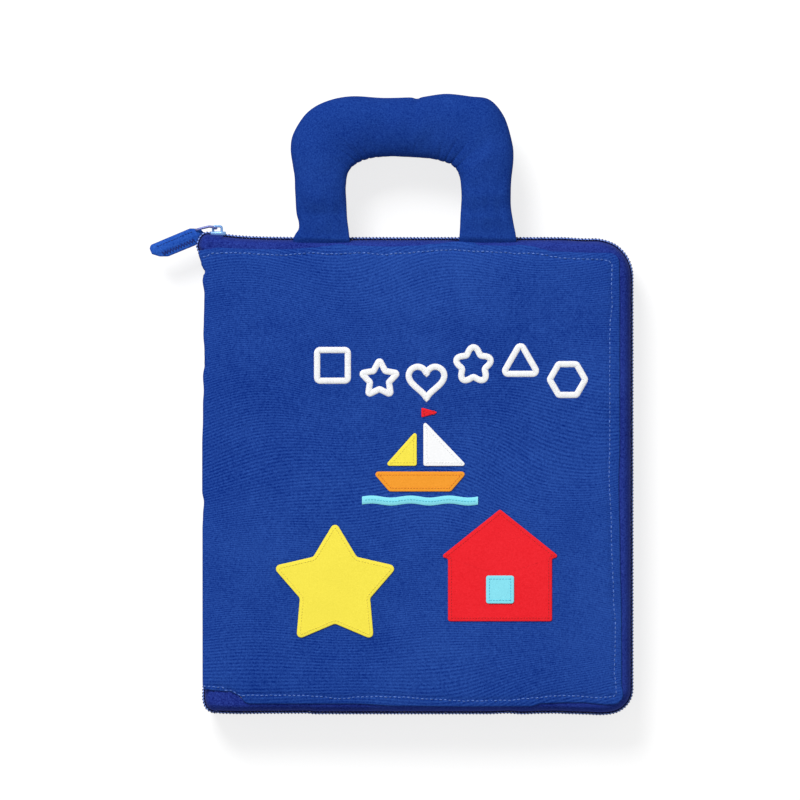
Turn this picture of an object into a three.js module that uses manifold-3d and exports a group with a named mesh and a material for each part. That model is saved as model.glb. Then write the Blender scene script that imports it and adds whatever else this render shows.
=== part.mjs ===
// A zipped cloth activity book for a baby, lying on its back cover, in millimetres.
// +X runs from the spine to the open side, +Y to the edge with the handle, +Z up through the thickness.
// The origin is under the middle of the whole part, on the surface that it rests on.
import * as THREE from "three";
import Module from "manifold-3d";
import { mergeVertices } from "three/addons/utils/BufferGeometryUtils.js";

const wasm = await Module();
wasm.setup();

// Fits between neighbours
const clearance = 0.3;

// The closed case
const caseWidth = 215;
const caseHeight = 238;
const caseThickness = 36;
const zipOverhang = 5.3;

// Padded covers: an outer cloth tray, a foam sheet and a flat lining
const coverThickness = 5.5;
const coverClothWall = 1.2;
const coverLiningThickness = 1.1;
const coverCrown = 1.5;
const coverCrownWidth = 24;
const coverCornerRadius = 2.5;
const coverEdgeSoftness = 0.8;
const coverDrawIn = 0.4;
const coverRingRadiusGain = 0.6;
const crownInsetShares = [0.03, 0.12, 0.3, 0.6, 1];
const crownRiseShares = [0.22, 0.5, 0.75, 0.93, 1];

// The fold between a cover and the spine is a round roll of cloth
const foldRollRadius = 2;
const foldRollSteps = 6;

// The spine
const spineClothThickness = 1.9;
const spineLiningThickness = 1.8;
const spineEndInset = 1.2;
const spineEdge = 0.4;
const spineCorner = 1.5;

// The strip that the leaves are sewn to
const bindingThickness = 1.8;
const bindingEndInset = 4.5;
const bindingMargin = 0.7;
const bindingEdge = 0.3;
const bindingCorner = 1;

// Leaves
const leafCount = 4;
const leafThickness = 2.2;
const leafRightInset = 11.5;
const leafEndInset = 11;
const leafCornerRadius = 8;
const leafEdgeSteps = 5;

// Zip round three sides
const zipCornerRadiusTop = 14.5;
const zipCornerRadiusBottom = 12;
const zipHalfSlit = 0.9;
const coilDepth = 1.7;
const coilHeight = 1.5;
const tapeThickness = 0.8;
const tapeTuck = 3;
const tapeStraightHeight = 4.7;
const tapeCurveOutShares = [0, 0.1, 0.37, 0.68, 1];
const tapeCurveRiseShares = [0, 0.42, 0.81, 0.97, 1];
const zipStartInset = 4.5;
const zipCornerSteps = 6;
const zipEndTabRadius = 4.7;
const zipEndTabHeight = 16;
const zipEndTabWrap = 6.5;
const zipEndTabThickness = 1.2;

// Zip slider and its pull
const sliderBeforeZip = 1;
const sliderLength = 9;
const sliderOuterPlate = 1.5;
const sliderInnerPlate = 1;
const sliderFlange = 1;
const sliderWebLength = 2.5;
const sliderWebThickness = 1.2;
const sliderInnerMargin = 0.5;
const bailLength = 7.5;
const bailBar = 1.2;
const bailHole = 3.8;
const bailThickness = 1.4;
const bailCorner = 2.4;
const pivotFromSliderEnd = 3;
const frontCoilStart = 1.5;
const linkLength = 11.2;
const linkWidth = 6.2;
const linkWire = 1.2;
const pullTabLength = 25.2;
const pullTabWidth = 7;
const pullTabThickness = 2;
const pullTabNeckWidth = 4.6;
const pullTabNeckLength = 3.2;
const pullTabEndMargin = 1.1;
const pullTabTipWidth = 4;
const pullTabTipLength = 3.5;

// Stuffed handle
const handleOffsetX = -7.25;
const handleHalfSpan = 41.35;
const handleTopY = 174.2;
const handleBendRadius = 20;
const handleHalfWidth = 15;
const handleHalfThickness = 9;
const handleWall = 0.8;
const handleFootAxis = 1.8;
const handleFootEnd = 0.6;
const handleSag = 5;
const handleSides = 16;
const handleBendSteps = 6;
const handleTopSteps = 4;
const handleSquareness = 0.85;
const handleWaddingInset = 7;
const legStepShares = [0, 0.085, 0.15, 0.25, 0.38, 0.6, 0.8, 1];
const legWidthShares = [0.95, 0.93, 0.9, 0.85, 0.83, 0.84, 0.85, 0.9];
const legThicknessShares = [0.122, 0.16, 0.33, 0.62, 0.8, 0.83, 0.84, 0.88];
const legSagShares = [0, 0.02, 0.12, 0.38, 0.62, 0.68, 0.72, 0.8];

// Clock on the first leaf
const clockCentreY = 6;
const dialRadius = 60;
const dialThickness = 0.6;
const handThickness = 0.7;
const handHubRadius = 7;
const rivetRadius = 2.5;
const rivetHeadRadius = 4.5;
const rivetHeadThickness = 0.55;
const hourHandLength = 30;
const hourHandWidth = 9;
const minuteHandLength = 46;
const minuteHandWidth = 7;

// Counting ribbon on the second leaf
const ribbonCentreY = 14;
const ribbonLength = 160;
const ribbonWidth = 12;
const ribbonThickness = 0.7;
const ribbonEndLength = 10;
const counterCount = 3;
const counterWall = 0.9;
const counterLength = 16;
const counterWidth = 26;
const counterTravel = 29;
const counterSideWall = 4;

// Felt shapes on the third leaf
const feltThickness = 3;
const feltRadius = 24;
const feltSpacing = 58;
const feltRowY = 30;

// Zipped pocket on the fourth leaf
const pocketWidth = 140;
const pocketHeight = 110;
const pocketThickness = 0.8;
const pocketCentreY = -16;
const pocketCorner = 10;
const pocketZipLength = 120;
const pocketZipWidth = 18;
const pocketZipTape = 0.6;
const pocketZipRibWidth = 3;
const pocketZipRib = 0.9;
const pocketZipFromTop = 24;
const pocketSliderLength = 10;
const pocketSliderWidth = 8;
const pocketSliderRoof = 0.55;
const pocketSliderWall = 2.2;

// Appliques and stitched shapes on the front cover
const appliqueThickness = 0.6;
const starRadius = 33;
const starInnerShare = 0.56;
const starX = -41.5;
const starY = -56;
const houseX = 41;
const houseY = -57;
const houseWidth = 52;
const houseWallHeight = 32;
const houseRoofHeight = 24;
const houseEaves = 4;
const houseWindow = 14;
const boatX = 1;
const boatY = -3;
const boatHullWidth = 48;
const boatHullHeight = 10;
const boatSailHeight = 23;
const boatMainSailWidth = 22;
const boatJibWidth = 16;
const boatPieceGap = 2;
const boatWaveWidth = 58;
const boatWaveHeight = 4;
const boatPennantWidth = 9;
const boatPennantHeight = 5;
const bandShapeRadius = 10.5;
const bandStroke = 3.2;
const bandPitch = 23.5;
const bandCentreX = 16;
const bandCentreY = 51.5;
const bandWave = 5;
const bandStepShares = [-2.5, -1.5, -0.5, 0.5, 1.5, 2.5];
const flowerPetals = 5;
const flowerDentShare = 0.18;
const waveCount = 3;
const waveSteps = 16;
const arcSteps = 20;

// Places worked out from the sizes above
const spineX = -caseWidth / 2;
const rightX = caseWidth / 2 - zipOverhang;
const endY = caseHeight / 2 - zipOverhang;
const middleZ = caseThickness / 2;
const foldX = spineX + foldRollRadius;
const foldZ = coverCrown + foldRollRadius;
const spineInnerX = spineX + spineClothThickness + clearance + spineLiningThickness;
const spineBottomZ = foldZ + foldRollRadius + clearance;
const spineTopZ = caseThickness - spineBottomZ;
const trayLeftX = spineInnerX + clearance + coverClothWall;
const bindingX = spineInnerX + clearance + bindingThickness;
const leafLeftX = bindingX + clearance;
const leafRightX = caseWidth / 2 - leafRightInset;
const leafCentreX = (leafLeftX + leafRightX) / 2;
const leafEndY = caseHeight / 2 - leafEndInset;
const leafPitch = (caseThickness - 2 * coverThickness) / leafCount;
const zipOutX = caseWidth / 2;
const zipOutY = caseHeight / 2;
const zipStartX = spineX + zipStartInset;
const sliderLeftX = zipStartX - sliderBeforeZip;
const pivotX = sliderLeftX + pivotFromSliderEnd;
const plateFace = clearance + sliderOuterPlate;
const pivotY = zipOutY + plateFace + bailHole - linkWire / 2 - clearance;

const leafMiddleZ = (index) => coverThickness + clearance + leafThickness / 2 + index * leafPitch;
const leafTopZ = (index) => leafMiddleZ(index) + leafThickness / 2;

// Mesh helpers

function geometryFrom(points, triangles) {
  const positions = new Float32Array(points.length * 3);
  points.forEach((point, index) => point.toArray(positions, index * 3));
  let volume = 0;
  for (const [a, b, c] of triangles) {
    volume += points[a].dot(points[b].clone().cross(points[c]));
  }
  const order = volume < 0 ? triangles.map(([a, b, c]) => [a, c, b]) : triangles;
  const geometry = new THREE.BufferGeometry();
  geometry.setAttribute("position", new THREE.BufferAttribute(positions, 3));
  geometry.setIndex(order.flat());
  return geometry;
}

function bandTriangles(first, second, count) {
  const triangles = [];
  for (let i = 0; i < count; i += 1) {
    const next = (i + 1) % count;
    triangles.push([first + i, first + next, second + next]);
    triangles.push([first + i, second + next, second + i]);
  }
  return triangles;
}

// A skin through rings with the same number of points, closed by a fan over its first and last ring.
function loft(rings) {
  const count = rings[0].length;
  const points = rings.flat();
  const triangles = [];
  for (let r = 0; r + 1 < rings.length; r += 1) {
    triangles.push(...bandTriangles(r * count, (r + 1) * count, count));
  }
  const last = (rings.length - 1) * count;
  for (const [start, turned] of [[0, true], [last, false]]) {
    const centre = new THREE.Vector3();
    for (let i = 0; i < count; i += 1) {
      centre.addScaledVector(points[start + i], 1 / count);
    }
    const hub = points.push(centre) - 1;
    for (let i = 0; i < count; i += 1) {
      const next = (i + 1) % count;
      triangles.push(turned ? [hub, start + next, start + i] : [hub, start + i, start + next]);
    }
  }
  return geometryFrom(points, triangles);
}

// A skin whose last ring joins its first, such as a tube's outside and inside.
function loftLoop(rings) {
  const count = rings[0].length;
  const triangles = [];
  rings.forEach((ring, r) => {
    triangles.push(...bandTriangles(r * count, ((r + 1) % rings.length) * count, count));
  });
  return geometryFrom(rings.flat(), triangles);
}

// A flat section carried through stations, each a function from section point to place.
function sweep(section, stations) {
  const count = section.length;
  const points = stations.flatMap((station) => section.map(station));
  const triangles = [];
  for (let s = 0; s + 1 < stations.length; s += 1) {
    triangles.push(...bandTriangles(s * count, (s + 1) * count, count));
  }
  const last = (stations.length - 1) * count;
  for (const [a, b, c] of THREE.ShapeUtils.triangulateShape(section, [])) {
    triangles.push([a, c, b]);
    triangles.push([last + a, last + b, last + c]);
  }
  return geometryFrom(points, triangles);
}

// A rounded rectangle of points. Its sides draw in between their corners, as on stuffed cloth.
function roundedRing({ left, right, bottom, top }, radiusLeft, radiusRight, drawIn, place) {
  const cornerSteps = 4;
  const sideShares = [0.2, 0.5, 0.8];
  const corners = [
    [right - radiusRight, bottom + radiusRight, radiusRight, -Math.PI / 2],
    [right - radiusRight, top - radiusRight, radiusRight, 0],
    [left + radiusLeft, top - radiusLeft, radiusLeft, Math.PI / 2],
    [left + radiusLeft, bottom + radiusLeft, radiusLeft, Math.PI],
  ];
  const outline = [];
  corners.forEach(([x, y, radius, start], index) => {
    for (let step = 0; step <= cornerSteps; step += 1) {
      const angle = start + (Math.PI / 2) * (step / cornerSteps);
      outline.push([x + radius * Math.cos(angle), y + radius * Math.sin(angle)]);
    }
    const [nextX, nextY, nextRadius] = corners[(index + 1) % corners.length];
    const outward = start + Math.PI / 2;
    const from = outline[outline.length - 1];
    const to = [nextX + nextRadius * Math.cos(outward), nextY + nextRadius * Math.sin(outward)];
    for (const share of sideShares) {
      const pull = drawIn * Math.sin(Math.PI * share);
      outline.push([
        from[0] + (to[0] - from[0]) * share - pull * Math.cos(outward),
        from[1] + (to[1] - from[1]) * share - pull * Math.sin(outward),
      ]);
    }
  });
  return outline.map(([x, y]) => place(x, y));
}

const inset = ({ left, right, bottom, top }, by) => ({
  left: left + by,
  right: right - by,
  bottom: bottom + by,
  top: top - by,
});

// A flat slab with chamfered edges. place turns its own width, length and depth into a point.
function slab(box, low, high, corner, edge, place) {
  const steps = [[low, edge], [low + edge, 0], [high - edge, 0], [high, edge]];
  return loft(steps.map(([depth, by]) => (
    roundedRing(inset(box, by), corner, corner, 0, (x, y) => place(x, y, depth))
  )));
}

const upright = (x, y, depth) => new THREE.Vector3(x, y, depth);
const facingSpine = (x, y, depth) => new THREE.Vector3(depth, y, x);

function extruded(outline, holes, depth) {
  const shape = new THREE.Shape(outline);
  shape.holes = holes.map((hole) => new THREE.Path(hole));
  return new THREE.ExtrudeGeometry(shape, { depth, bevelEnabled: false, curveSegments: arcSteps });
}

function block(lowX, highX, lowY, highY, lowZ, highZ) {
  const geometry = new THREE.BoxGeometry(highX - lowX, highY - lowY, highZ - lowZ);
  return geometry.translate((lowX + highX) / 2, (lowY + highY) / 2, (lowZ + highZ) / 2);
}

function solidFrom(geometry) {
  const bare = geometry.clone();
  bare.deleteAttribute("normal");
  bare.deleteAttribute("uv");
  const merged = mergeVertices(bare);
  const vertProperties = Float32Array.from(merged.getAttribute("position").array);
  const triVerts = Uint32Array.from(merged.getIndex().array);
  return new wasm.Manifold(new wasm.Mesh({ numProp: 3, vertProperties, triVerts }));
}

function joined(geometries) {
  let solid = solidFrom(geometries[0]);
  for (const geometry of geometries.slice(1)) {
    solid = solid.add(solidFrom(geometry));
  }
  const mesh = solid.getMesh();
  const geometry = new THREE.BufferGeometry();
  geometry.setAttribute("position", new THREE.BufferAttribute(mesh.vertProperties, 3));
  geometry.setIndex(new THREE.BufferAttribute(mesh.triVerts, 1));
  return geometry;
}

function circlePoints(x, y, radius, steps) {
  return Array.from({ length: steps }, (_, step) => {
    const angle = (2 * Math.PI * step) / steps;
    return new THREE.Vector2(x + radius * Math.cos(angle), y + radius * Math.sin(angle));
  });
}

const group = new THREE.Group();

function add(name, geometry, color, roughness, metalness) {
  const material = new THREE.MeshStandardMaterial({ color, roughness, metalness });
  const mesh = new THREE.Mesh(geometry, material);
  mesh.name = name;
  group.add(mesh);
  return mesh;
}

const coverBlue = 0x20459a;
const tapeBlue = 0x262f94;
const coilNavy = 0x101a4a;
const tabBlue = 0x2355c8;
const foamWhite = 0xe8e6df;
const liningBlue = 0x3f74c8;
const leafCream = 0xf3ead8;
const sliderSteel = 0x8fb4dc;
const threadWhite = 0xf6f6f8;
const feltYellow = 0xfbec5f;
const feltRed = 0xf72c35;
const feltCyan = 0x6edceb;
const feltOrange = 0xfaa537;
const feltGreen = 0x3da35a;

// Covers

const panelBox = { left: foldX, right: rightX, bottom: -endY, top: endY };
const trayBox = {
  left: trayLeftX,
  right: rightX - coverClothWall,
  bottom: -endY + coverClothWall,
  top: endY - coverClothWall,
};

function coverRing(box, by, height, flip) {
  const radius = coverCornerRadius + coverRingRadiusGain * by;
  const z = flip ? caseThickness - height : height;
  return roundedRing(inset(box, by), radius, radius, coverDrawIn, (x, y) => upright(x, y, z));
}

// Rings from a tray's rim or edge to the middle of its crowned face.
function crownRings(box, edgeHeight, flip) {
  return crownInsetShares.map((share, index) => (
    coverRing(box, coverCrownWidth * share, edgeHeight + coverCrown * crownRiseShares[index], flip)
  ));
}

function coverCloth(flip) {
  const innerEdge = caseThickness - coverCrown - coverClothWall;
  const bottom = caseThickness - coverThickness;
  const rings = crownRings(trayBox, innerEdge, flip).reverse();
  rings.push(coverRing(trayBox, 0, innerEdge, flip));
  rings.push(coverRing(trayBox, 0, bottom, flip));
  for (let step = 0; step <= foldRollSteps; step += 1) {
    const angle = (Math.PI * step) / foldRollSteps;
    const soft = coverEdgeSoftness * Math.cos(angle) ** 2;
    const box = inset(panelBox, soft);
    box.left = foldX - foldRollRadius * Math.sin(angle);
    rings.push(coverRing(box, 0, caseThickness - foldZ - foldRollRadius * Math.cos(angle), flip));
  }
  rings.push(...crownRings(inset(panelBox, coverEdgeSoftness), caseThickness - coverCrown, flip));
  return loft(rings);
}

function coverFoam(flip) {
  const box = inset(trayBox, clearance);
  const bottom = caseThickness - coverThickness + coverLiningThickness + clearance;
  const edge = caseThickness - coverCrown - coverClothWall - clearance;
  const rings = [coverRing(box, 0, bottom, flip), coverRing(box, 0, edge, flip)];
  rings.push(...crownRings(box, edge, flip));
  return loft(rings);
}

function coverLining(flip) {
  const bottom = caseThickness - coverThickness;
  const box = inset(trayBox, clearance);
  const top = bottom + coverLiningThickness;
  return loft([coverRing(box, 0, bottom, flip), coverRing(box, 0, top, flip)]);
}

function addCover(side, flip) {
  add(`${side}_cover_cloth`, coverCloth(flip), coverBlue, 0.85, 0);
  add(`${side}_cover_foam`, coverFoam(flip), foamWhite, 0.9, 0);
  add(`${side}_cover_lining`, coverLining(flip), liningBlue, 0.85, 0);
}

addCover("back", true);
addCover("front", false);

// Spine and binding

function addSpine() {
  const end = endY - spineEndInset;
  const box = { left: spineBottomZ, right: spineTopZ, bottom: -end, top: end };
  const clothIn = spineX + spineClothThickness;
  const cloth = slab(box, spineX, clothIn, spineCorner, spineEdge, facingSpine);
  const lining = slab(box, clothIn + clearance, spineInnerX, spineCorner, spineEdge, facingSpine);
  add("spine_cloth", cloth, coverBlue, 0.85, 0);
  add("spine_lining", lining, liningBlue, 0.85, 0);
}

function addBinding() {
  const end = leafEndY - bindingEndInset;
  const box = {
    left: leafMiddleZ(0) - bindingMargin,
    right: leafMiddleZ(leafCount - 1) + bindingMargin,
    bottom: -end,
    top: end,
  };
  const low = spineInnerX + clearance;
  add("binding_strip", slab(box, low, bindingX, bindingCorner, bindingEdge, facingSpine), coverBlue, 0.8, 0);
}

addSpine();
addBinding();

// Leaves

function leafGeometry(index) {
  const half = leafThickness / 2;
  const box = { left: leafLeftX, right: leafRightX, bottom: -leafEndY, top: leafEndY };
  const rings = [];
  for (let step = 0; step <= leafEdgeSteps; step += 1) {
    const angle = Math.PI * (step / leafEdgeSteps - 1 / 2);
    const by = half * (1 - Math.cos(angle));
    const z = leafMiddleZ(index) + half * Math.sin(angle);
    rings.push(roundedRing(inset(box, by), leafCornerRadius, leafCornerRadius, 0, (x, y) => upright(x, y, z)));
  }
  return loft(rings);
}

for (let index = 0; index < leafCount; index += 1) {
  add(`leaf_${index + 1}`, leafGeometry(index), leafCream, 0.85, 0);
}

// Zip

// Stations round the bottom, the open side and the top, each turning a section point into a place.
function zipStations(topEndX, flip) {
  const stations = [];
  const push = (x, y, normalX, normalY) => {
    stations.push((point) => new THREE.Vector3(
      x + normalX * point.x,
      y + normalY * point.x,
      flip ? middleZ - point.y : middleZ + point.y,
    ));
  };
  const corner = (radius, centreY, start) => {
    for (let step = 0; step <= zipCornerSteps; step += 1) {
      const angle = start + (Math.PI / 2) * (step / zipCornerSteps);
      const [c, s] = [Math.cos(angle), Math.sin(angle)];
      push(zipOutX - radius + radius * c, centreY + radius * s, c, s);
    }
  };
  push(zipStartX, -zipOutY, 0, -1);
  corner(zipCornerRadiusBottom, -zipOutY + zipCornerRadiusBottom, -Math.PI / 2);
  corner(zipCornerRadiusTop, zipOutY - zipCornerRadiusTop, 0);
  push(topEndX, zipOutY, 0, 1);
  return stations;
}

const tapeOut = -coilDepth - clearance - tapeThickness / 2;

// The tape's half section: straight beside the coil, then curving in under the cover's rim.
function tapeSection() {
  const rimIn = -zipOverhang - tapeTuck;
  const rimUp = caseThickness - coverThickness - clearance - tapeThickness / 2 - middleZ;
  const straightTop = zipHalfSlit + tapeStraightHeight;
  const line = [new THREE.Vector2(tapeOut, zipHalfSlit)];
  tapeCurveOutShares.forEach((share, index) => {
    const rise = tapeCurveRiseShares[index];
    line.push(new THREE.Vector2(
      tapeOut + (rimIn - tapeOut) * share,
      straightTop + (rimUp - straightTop) * rise,
    ));
  });
  const sides = [1, -1].map((side) => line.map((point, index) => {
    const before = line[Math.max(index - 1, 0)];
    const after = line[Math.min(index + 1, line.length - 1)];
    const along = after.clone().sub(before).normalize();
    const out = new THREE.Vector2(along.y, -along.x).multiplyScalar((side * tapeThickness) / 2);
    return point.clone().add(out);
  }));
  return [...sides[0], ...sides[1].reverse()];
}

function coilSection() {
  const low = zipHalfSlit;
  const high = zipHalfSlit + coilHeight;
  return [[0, low], [0, high], [-coilDepth, high], [-coilDepth, low]].map(([x, y]) => new THREE.Vector2(x, y));
}

function addZip() {
  const frontCoilX = sliderLeftX + sliderLength + frontCoilStart;
  add("zip_tape_back", sweep(tapeSection(), zipStations(zipStartX, true)), tapeBlue, 0.8, 0);
  add("zip_tape_front", sweep(tapeSection(), zipStations(zipStartX, false)), tapeBlue, 0.8, 0);
  add("zip_coil_back", sweep(coilSection(), zipStations(zipStartX, true)), coilNavy, 0.45, 0);
  add("zip_coil_front", sweep(coilSection(), zipStations(frontCoilX, false)), coilNavy, 0.45, 0);
}

// A cloth tab round each end of the zip, sewn to the end of the spine.
function zipEndTab(top) {
  const innerX = sliderLeftX - clearance;
  const spineEnd = endY - spineEndInset + clearance;
  const centreY = zipOutY - zipEndTabRadius;
  const outerX = innerX - zipEndTabRadius;
  const outline = [new THREE.Vector2(innerX, spineEnd)];
  for (let step = 0; step <= zipCornerSteps; step += 1) {
    const angle = Math.PI / 2 + (Math.PI / 2) * (step / zipCornerSteps);
    outline.push(new THREE.Vector2(
      innerX + zipEndTabRadius * Math.cos(angle),
      centreY + zipEndTabRadius * Math.sin(angle),
    ));
  }
  const wrapY = spineEnd - zipEndTabWrap;
  outline.push(new THREE.Vector2(outerX, wrapY));
  outline.push(new THREE.Vector2(outerX + zipEndTabThickness, wrapY));
  outline.push(new THREE.Vector2(outerX + zipEndTabThickness, spineEnd));
  const geometry = extruded(outline, [], zipEndTabHeight);
  geometry.translate(0, 0, middleZ - zipEndTabHeight / 2);
  return top ? geometry : geometry.rotateX(Math.PI).translate(0, 0, caseThickness);
}

addZip();
add("zip_end_tab_top", zipEndTab(true), coverBlue, 0.85, 0);
add("zip_end_tab_bottom", zipEndTab(false), coverBlue, 0.85, 0);

// Slider and pull

function bailGeometry() {
  const left = pivotX - bailHole / 2 - bailBar;
  const right = left + bailLength;
  const low = zipOutY + plateFace - bailBar;
  const high = zipOutY + plateFace + bailHole + bailBar;
  const outline = [
    [left, low], [right, low], [right, high - bailCorner], [right - bailCorner, high],
    [left + bailCorner, high], [left, high - bailCorner],
  ];
  const holeLow = zipOutY + plateFace;
  const holeHigh = high - bailBar;
  const hole = [
    [left + bailBar, holeLow], [right - bailBar, holeLow], [right - bailBar, holeHigh - bailBar],
    [right - 2 * bailBar, holeHigh], [left + 2 * bailBar, holeHigh], [left + bailBar, holeHigh - bailBar],
  ];
  const points = (list) => list.map(([x, y]) => new THREE.Vector2(x, y));
  const geometry = extruded(points(outline), [points(hole)], bailThickness);
  return geometry.translate(0, 0, middleZ - bailThickness / 2);
}

function sliderGeometry() {
  const right = sliderLeftX + sliderLength;
  const halfHeight = zipHalfSlit + coilHeight + clearance + sliderFlange;
  const tapeIn = zipOutY + tapeOut - tapeThickness / 2;
  const tapeFace = zipOutY + tapeOut + tapeThickness / 2;
  const innerHigh = tapeIn - clearance;
  const innerLow = innerHigh - sliderInnerPlate;
  const outerLow = zipOutY + clearance;
  const outerHigh = outerLow + sliderOuterPlate;
  const innerHalf = halfHeight - sliderInnerMargin;
  const webRight = sliderLeftX + sliderWebLength;
  const webHalf = sliderWebThickness / 2;
  const flangeLow = tapeFace + clearance;
  const pieces = [
    block(sliderLeftX, right, outerLow, outerHigh, middleZ - halfHeight, middleZ + halfHeight),
    block(sliderLeftX, right, innerLow, innerHigh, middleZ - innerHalf, middleZ + innerHalf),
    block(sliderLeftX, webRight, innerLow, outerHigh, middleZ - webHalf, middleZ + webHalf),
  ];
  for (const side of [1, -1]) {
    const near = middleZ + side * (halfHeight - sliderFlange);
    const far = middleZ + side * halfHeight;
    const [low, high] = [Math.min(near, far), Math.max(near, far)];
    pieces.push(block(sliderLeftX, right, flangeLow, outerHigh, low, high));
  }
  pieces.push(bailGeometry());
  return joined(pieces);
}

function linkGeometry() {
  const half = linkWidth / 2;
  const right = pivotX + linkWire / 2;
  const left = right - linkLength;
  const rectangle = (by) => [
    new THREE.Vector2(left + by, -half + by),
    new THREE.Vector2(right - by, -half + by),
    new THREE.Vector2(right - by, half - by),
    new THREE.Vector2(left + by, half - by),
  ];
  const geometry = extruded(rectangle(0), [rectangle(linkWire)], linkWire);
  return geometry.rotateX(Math.PI / 2).translate(0, pivotY + linkWire / 2, middleZ);
}

function pullTabGeometry() {
  const barX = pivotX - linkLength + linkWire;
  const slot = linkWire / 2 + clearance;
  const right = barX + slot + pullTabEndMargin;
  const left = right - pullTabLength;
  const neckX = right - pullTabNeckLength;
  const tipX = left + pullTabTipLength;
  const [neck, half, tip] = [pullTabNeckWidth / 2, pullTabWidth / 2, pullTabTipWidth / 2];
  const outline = [
    [right, -neck], [right, neck], [neckX, half], [tipX, half],
    [left, tip], [left, -tip], [tipX, -half], [neckX, -half],
  ].map(([x, y]) => new THREE.Vector2(x, y));
  const hole = [[-slot, -slot], [slot, -slot], [slot, slot], [-slot, slot]];
  const eyelet = hole.map(([x, y]) => new THREE.Vector2(barX + x, y));
  const geometry = extruded(outline, [eyelet], pullTabThickness);
  return geometry.translate(0, pivotY, middleZ - pullTabThickness / 2);
}

add("slider_body", sliderGeometry(), sliderSteel, 0.3, 0.9);
add("pull_link", linkGeometry(), sliderSteel, 0.3, 0.9);
add("pull_tab", pullTabGeometry(), tabBlue, 0.75, 0);

// Handle

const handleAxisY = endY + handleFootAxis;
const handleAxisZ = caseThickness - foldZ;

// Stations along the handle: place on its middle line, outward direction, and its local half sizes.
function handleStations() {
  const footY = endY + handleFootEnd;
  const legTop = handleTopY - handleBendRadius;
  const leg = legStepShares.map((share, index) => ({
    x: -handleHalfSpan,
    y: footY + (legTop - footY) * share,
    outX: -1,
    outY: 0,
    width: handleHalfWidth * legWidthShares[index],
    thickness: handleHalfThickness * legThicknessShares[index],
    sag: handleSag * legSagShares[index],
  }));
  const foot = leg[leg.length - 1];
  const half = [...leg];
  for (let step = 1; step <= handleBendSteps; step += 1) {
    const share = step / handleBendSteps;
    const angle = Math.PI - (Math.PI / 2) * share;
    half.push({
      x: -handleHalfSpan + handleBendRadius + handleBendRadius * Math.cos(angle),
      y: legTop + handleBendRadius * Math.sin(angle),
      outX: Math.cos(angle),
      outY: Math.sin(angle),
      width: foot.width + (handleHalfWidth - foot.width) * share,
      thickness: foot.thickness + (handleHalfThickness - foot.thickness) * share,
      sag: foot.sag + (handleSag - foot.sag) * share,
    });
  }
  const across = [];
  const topHalf = handleHalfSpan - handleBendRadius;
  for (let step = 1; step < handleTopSteps; step += 1) {
    const top = half[half.length - 1];
    across.push({ ...top, x: -topHalf + (2 * topHalf * step) / handleTopSteps });
  }
  const otherHalf = half.map((station) => ({ ...station, x: -station.x, outX: -station.outX })).reverse();
  return [...half, ...across, ...otherHalf];
}

function handleRing(station, shrink) {
  const ring = [];
  for (let side = 0; side < handleSides; side += 1) {
    const angle = (2 * Math.PI * side) / handleSides;
    const [c, s] = [Math.cos(angle), Math.sin(angle)];
    const across = Math.sign(c) * Math.abs(c) ** handleSquareness * (station.width - shrink);
    const up = Math.sign(s) * Math.abs(s) ** handleSquareness * (station.thickness - shrink);
    ring.push(new THREE.Vector3(
      handleOffsetX + station.x + station.outX * across,
      station.y + station.outY * across,
      handleAxisZ - station.sag + up,
    ));
  }
  return ring;
}

function addHandle() {
  const stations = handleStations();
  const outside = stations.map((station) => handleRing(station, 0));
  const inside = stations.map((station) => handleRing(station, handleWall)).reverse();
  add("handle_cover", loftLoop([...outside, ...inside]), coverBlue, 0.85, 0);
  const stuffed = stations.filter((station) => station.y > endY + handleWaddingInset);
  const filling = stuffed.map((station) => handleRing(station, handleWall + clearance));
  add("handle_wadding", loft(filling), foamWhite, 0.95, 0);
}

addHandle();

// Clock

function handGeometry(length, width) {
  const half = width / 2;
  const outline = circlePoints(0, 0, handHubRadius, arcSteps).filter((point) => (
    point.y < 0 || Math.abs(point.x) > half
  ));
  const first = outline.filter((point) => point.x > 0).sort((a, b) => a.y - b.y);
  const second = outline.filter((point) => point.x <= 0).sort((a, b) => b.y - a.y);
  const arrow = [
    new THREE.Vector2(half, length - width), new THREE.Vector2(width, length - width),
    new THREE.Vector2(0, length), new THREE.Vector2(-width, length - width),
    new THREE.Vector2(-half, length - width),
  ];
  const hole = circlePoints(0, 0, rivetRadius + clearance, arcSteps);
  return extruded([...first, ...arrow, ...second], [hole], handThickness);
}

function addClock() {
  const dialLow = leafTopZ(0) + clearance;
  const hourLow = dialLow + dialThickness + clearance;
  const minuteLow = hourLow + handThickness + clearance;
  const headLow = minuteLow + handThickness + clearance;
  const hole = circlePoints(0, 0, rivetRadius + clearance, arcSteps);
  const dial = extruded(circlePoints(0, 0, dialRadius, 2 * arcSteps), [hole], dialThickness);
  const place = (geometry, z) => geometry.translate(leafCentreX, clockCentreY, z);
  add("clock_dial", place(dial, dialLow), feltYellow, 0.95, 0);
  const hour = handGeometry(hourHandLength, hourHandWidth).rotateZ((-2 * Math.PI) / 3);
  const minute = handGeometry(minuteHandLength, minuteHandWidth);
  add("clock_hour_hand", place(hour, hourLow), feltRed, 0.95, 0);
  add("clock_minute_hand", place(minute, minuteLow), coverBlue, 0.95, 0);
  const profile = [
    [0, dialLow], [rivetRadius, dialLow], [rivetRadius, headLow], [rivetHeadRadius, headLow],
    [rivetHeadRadius, headLow + rivetHeadThickness], [0, headLow + rivetHeadThickness],
  ].map(([radius, z]) => new THREE.Vector2(radius, z));
  const rivet = new THREE.LatheGeometry(profile, arcSteps).rotateX(Math.PI / 2);
  add("clock_rivet", rivet.translate(leafCentreX, clockCentreY, 0), threadWhite, 0.4, 0);
}

addClock();

// Counting ribbon with its sliding counters

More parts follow.
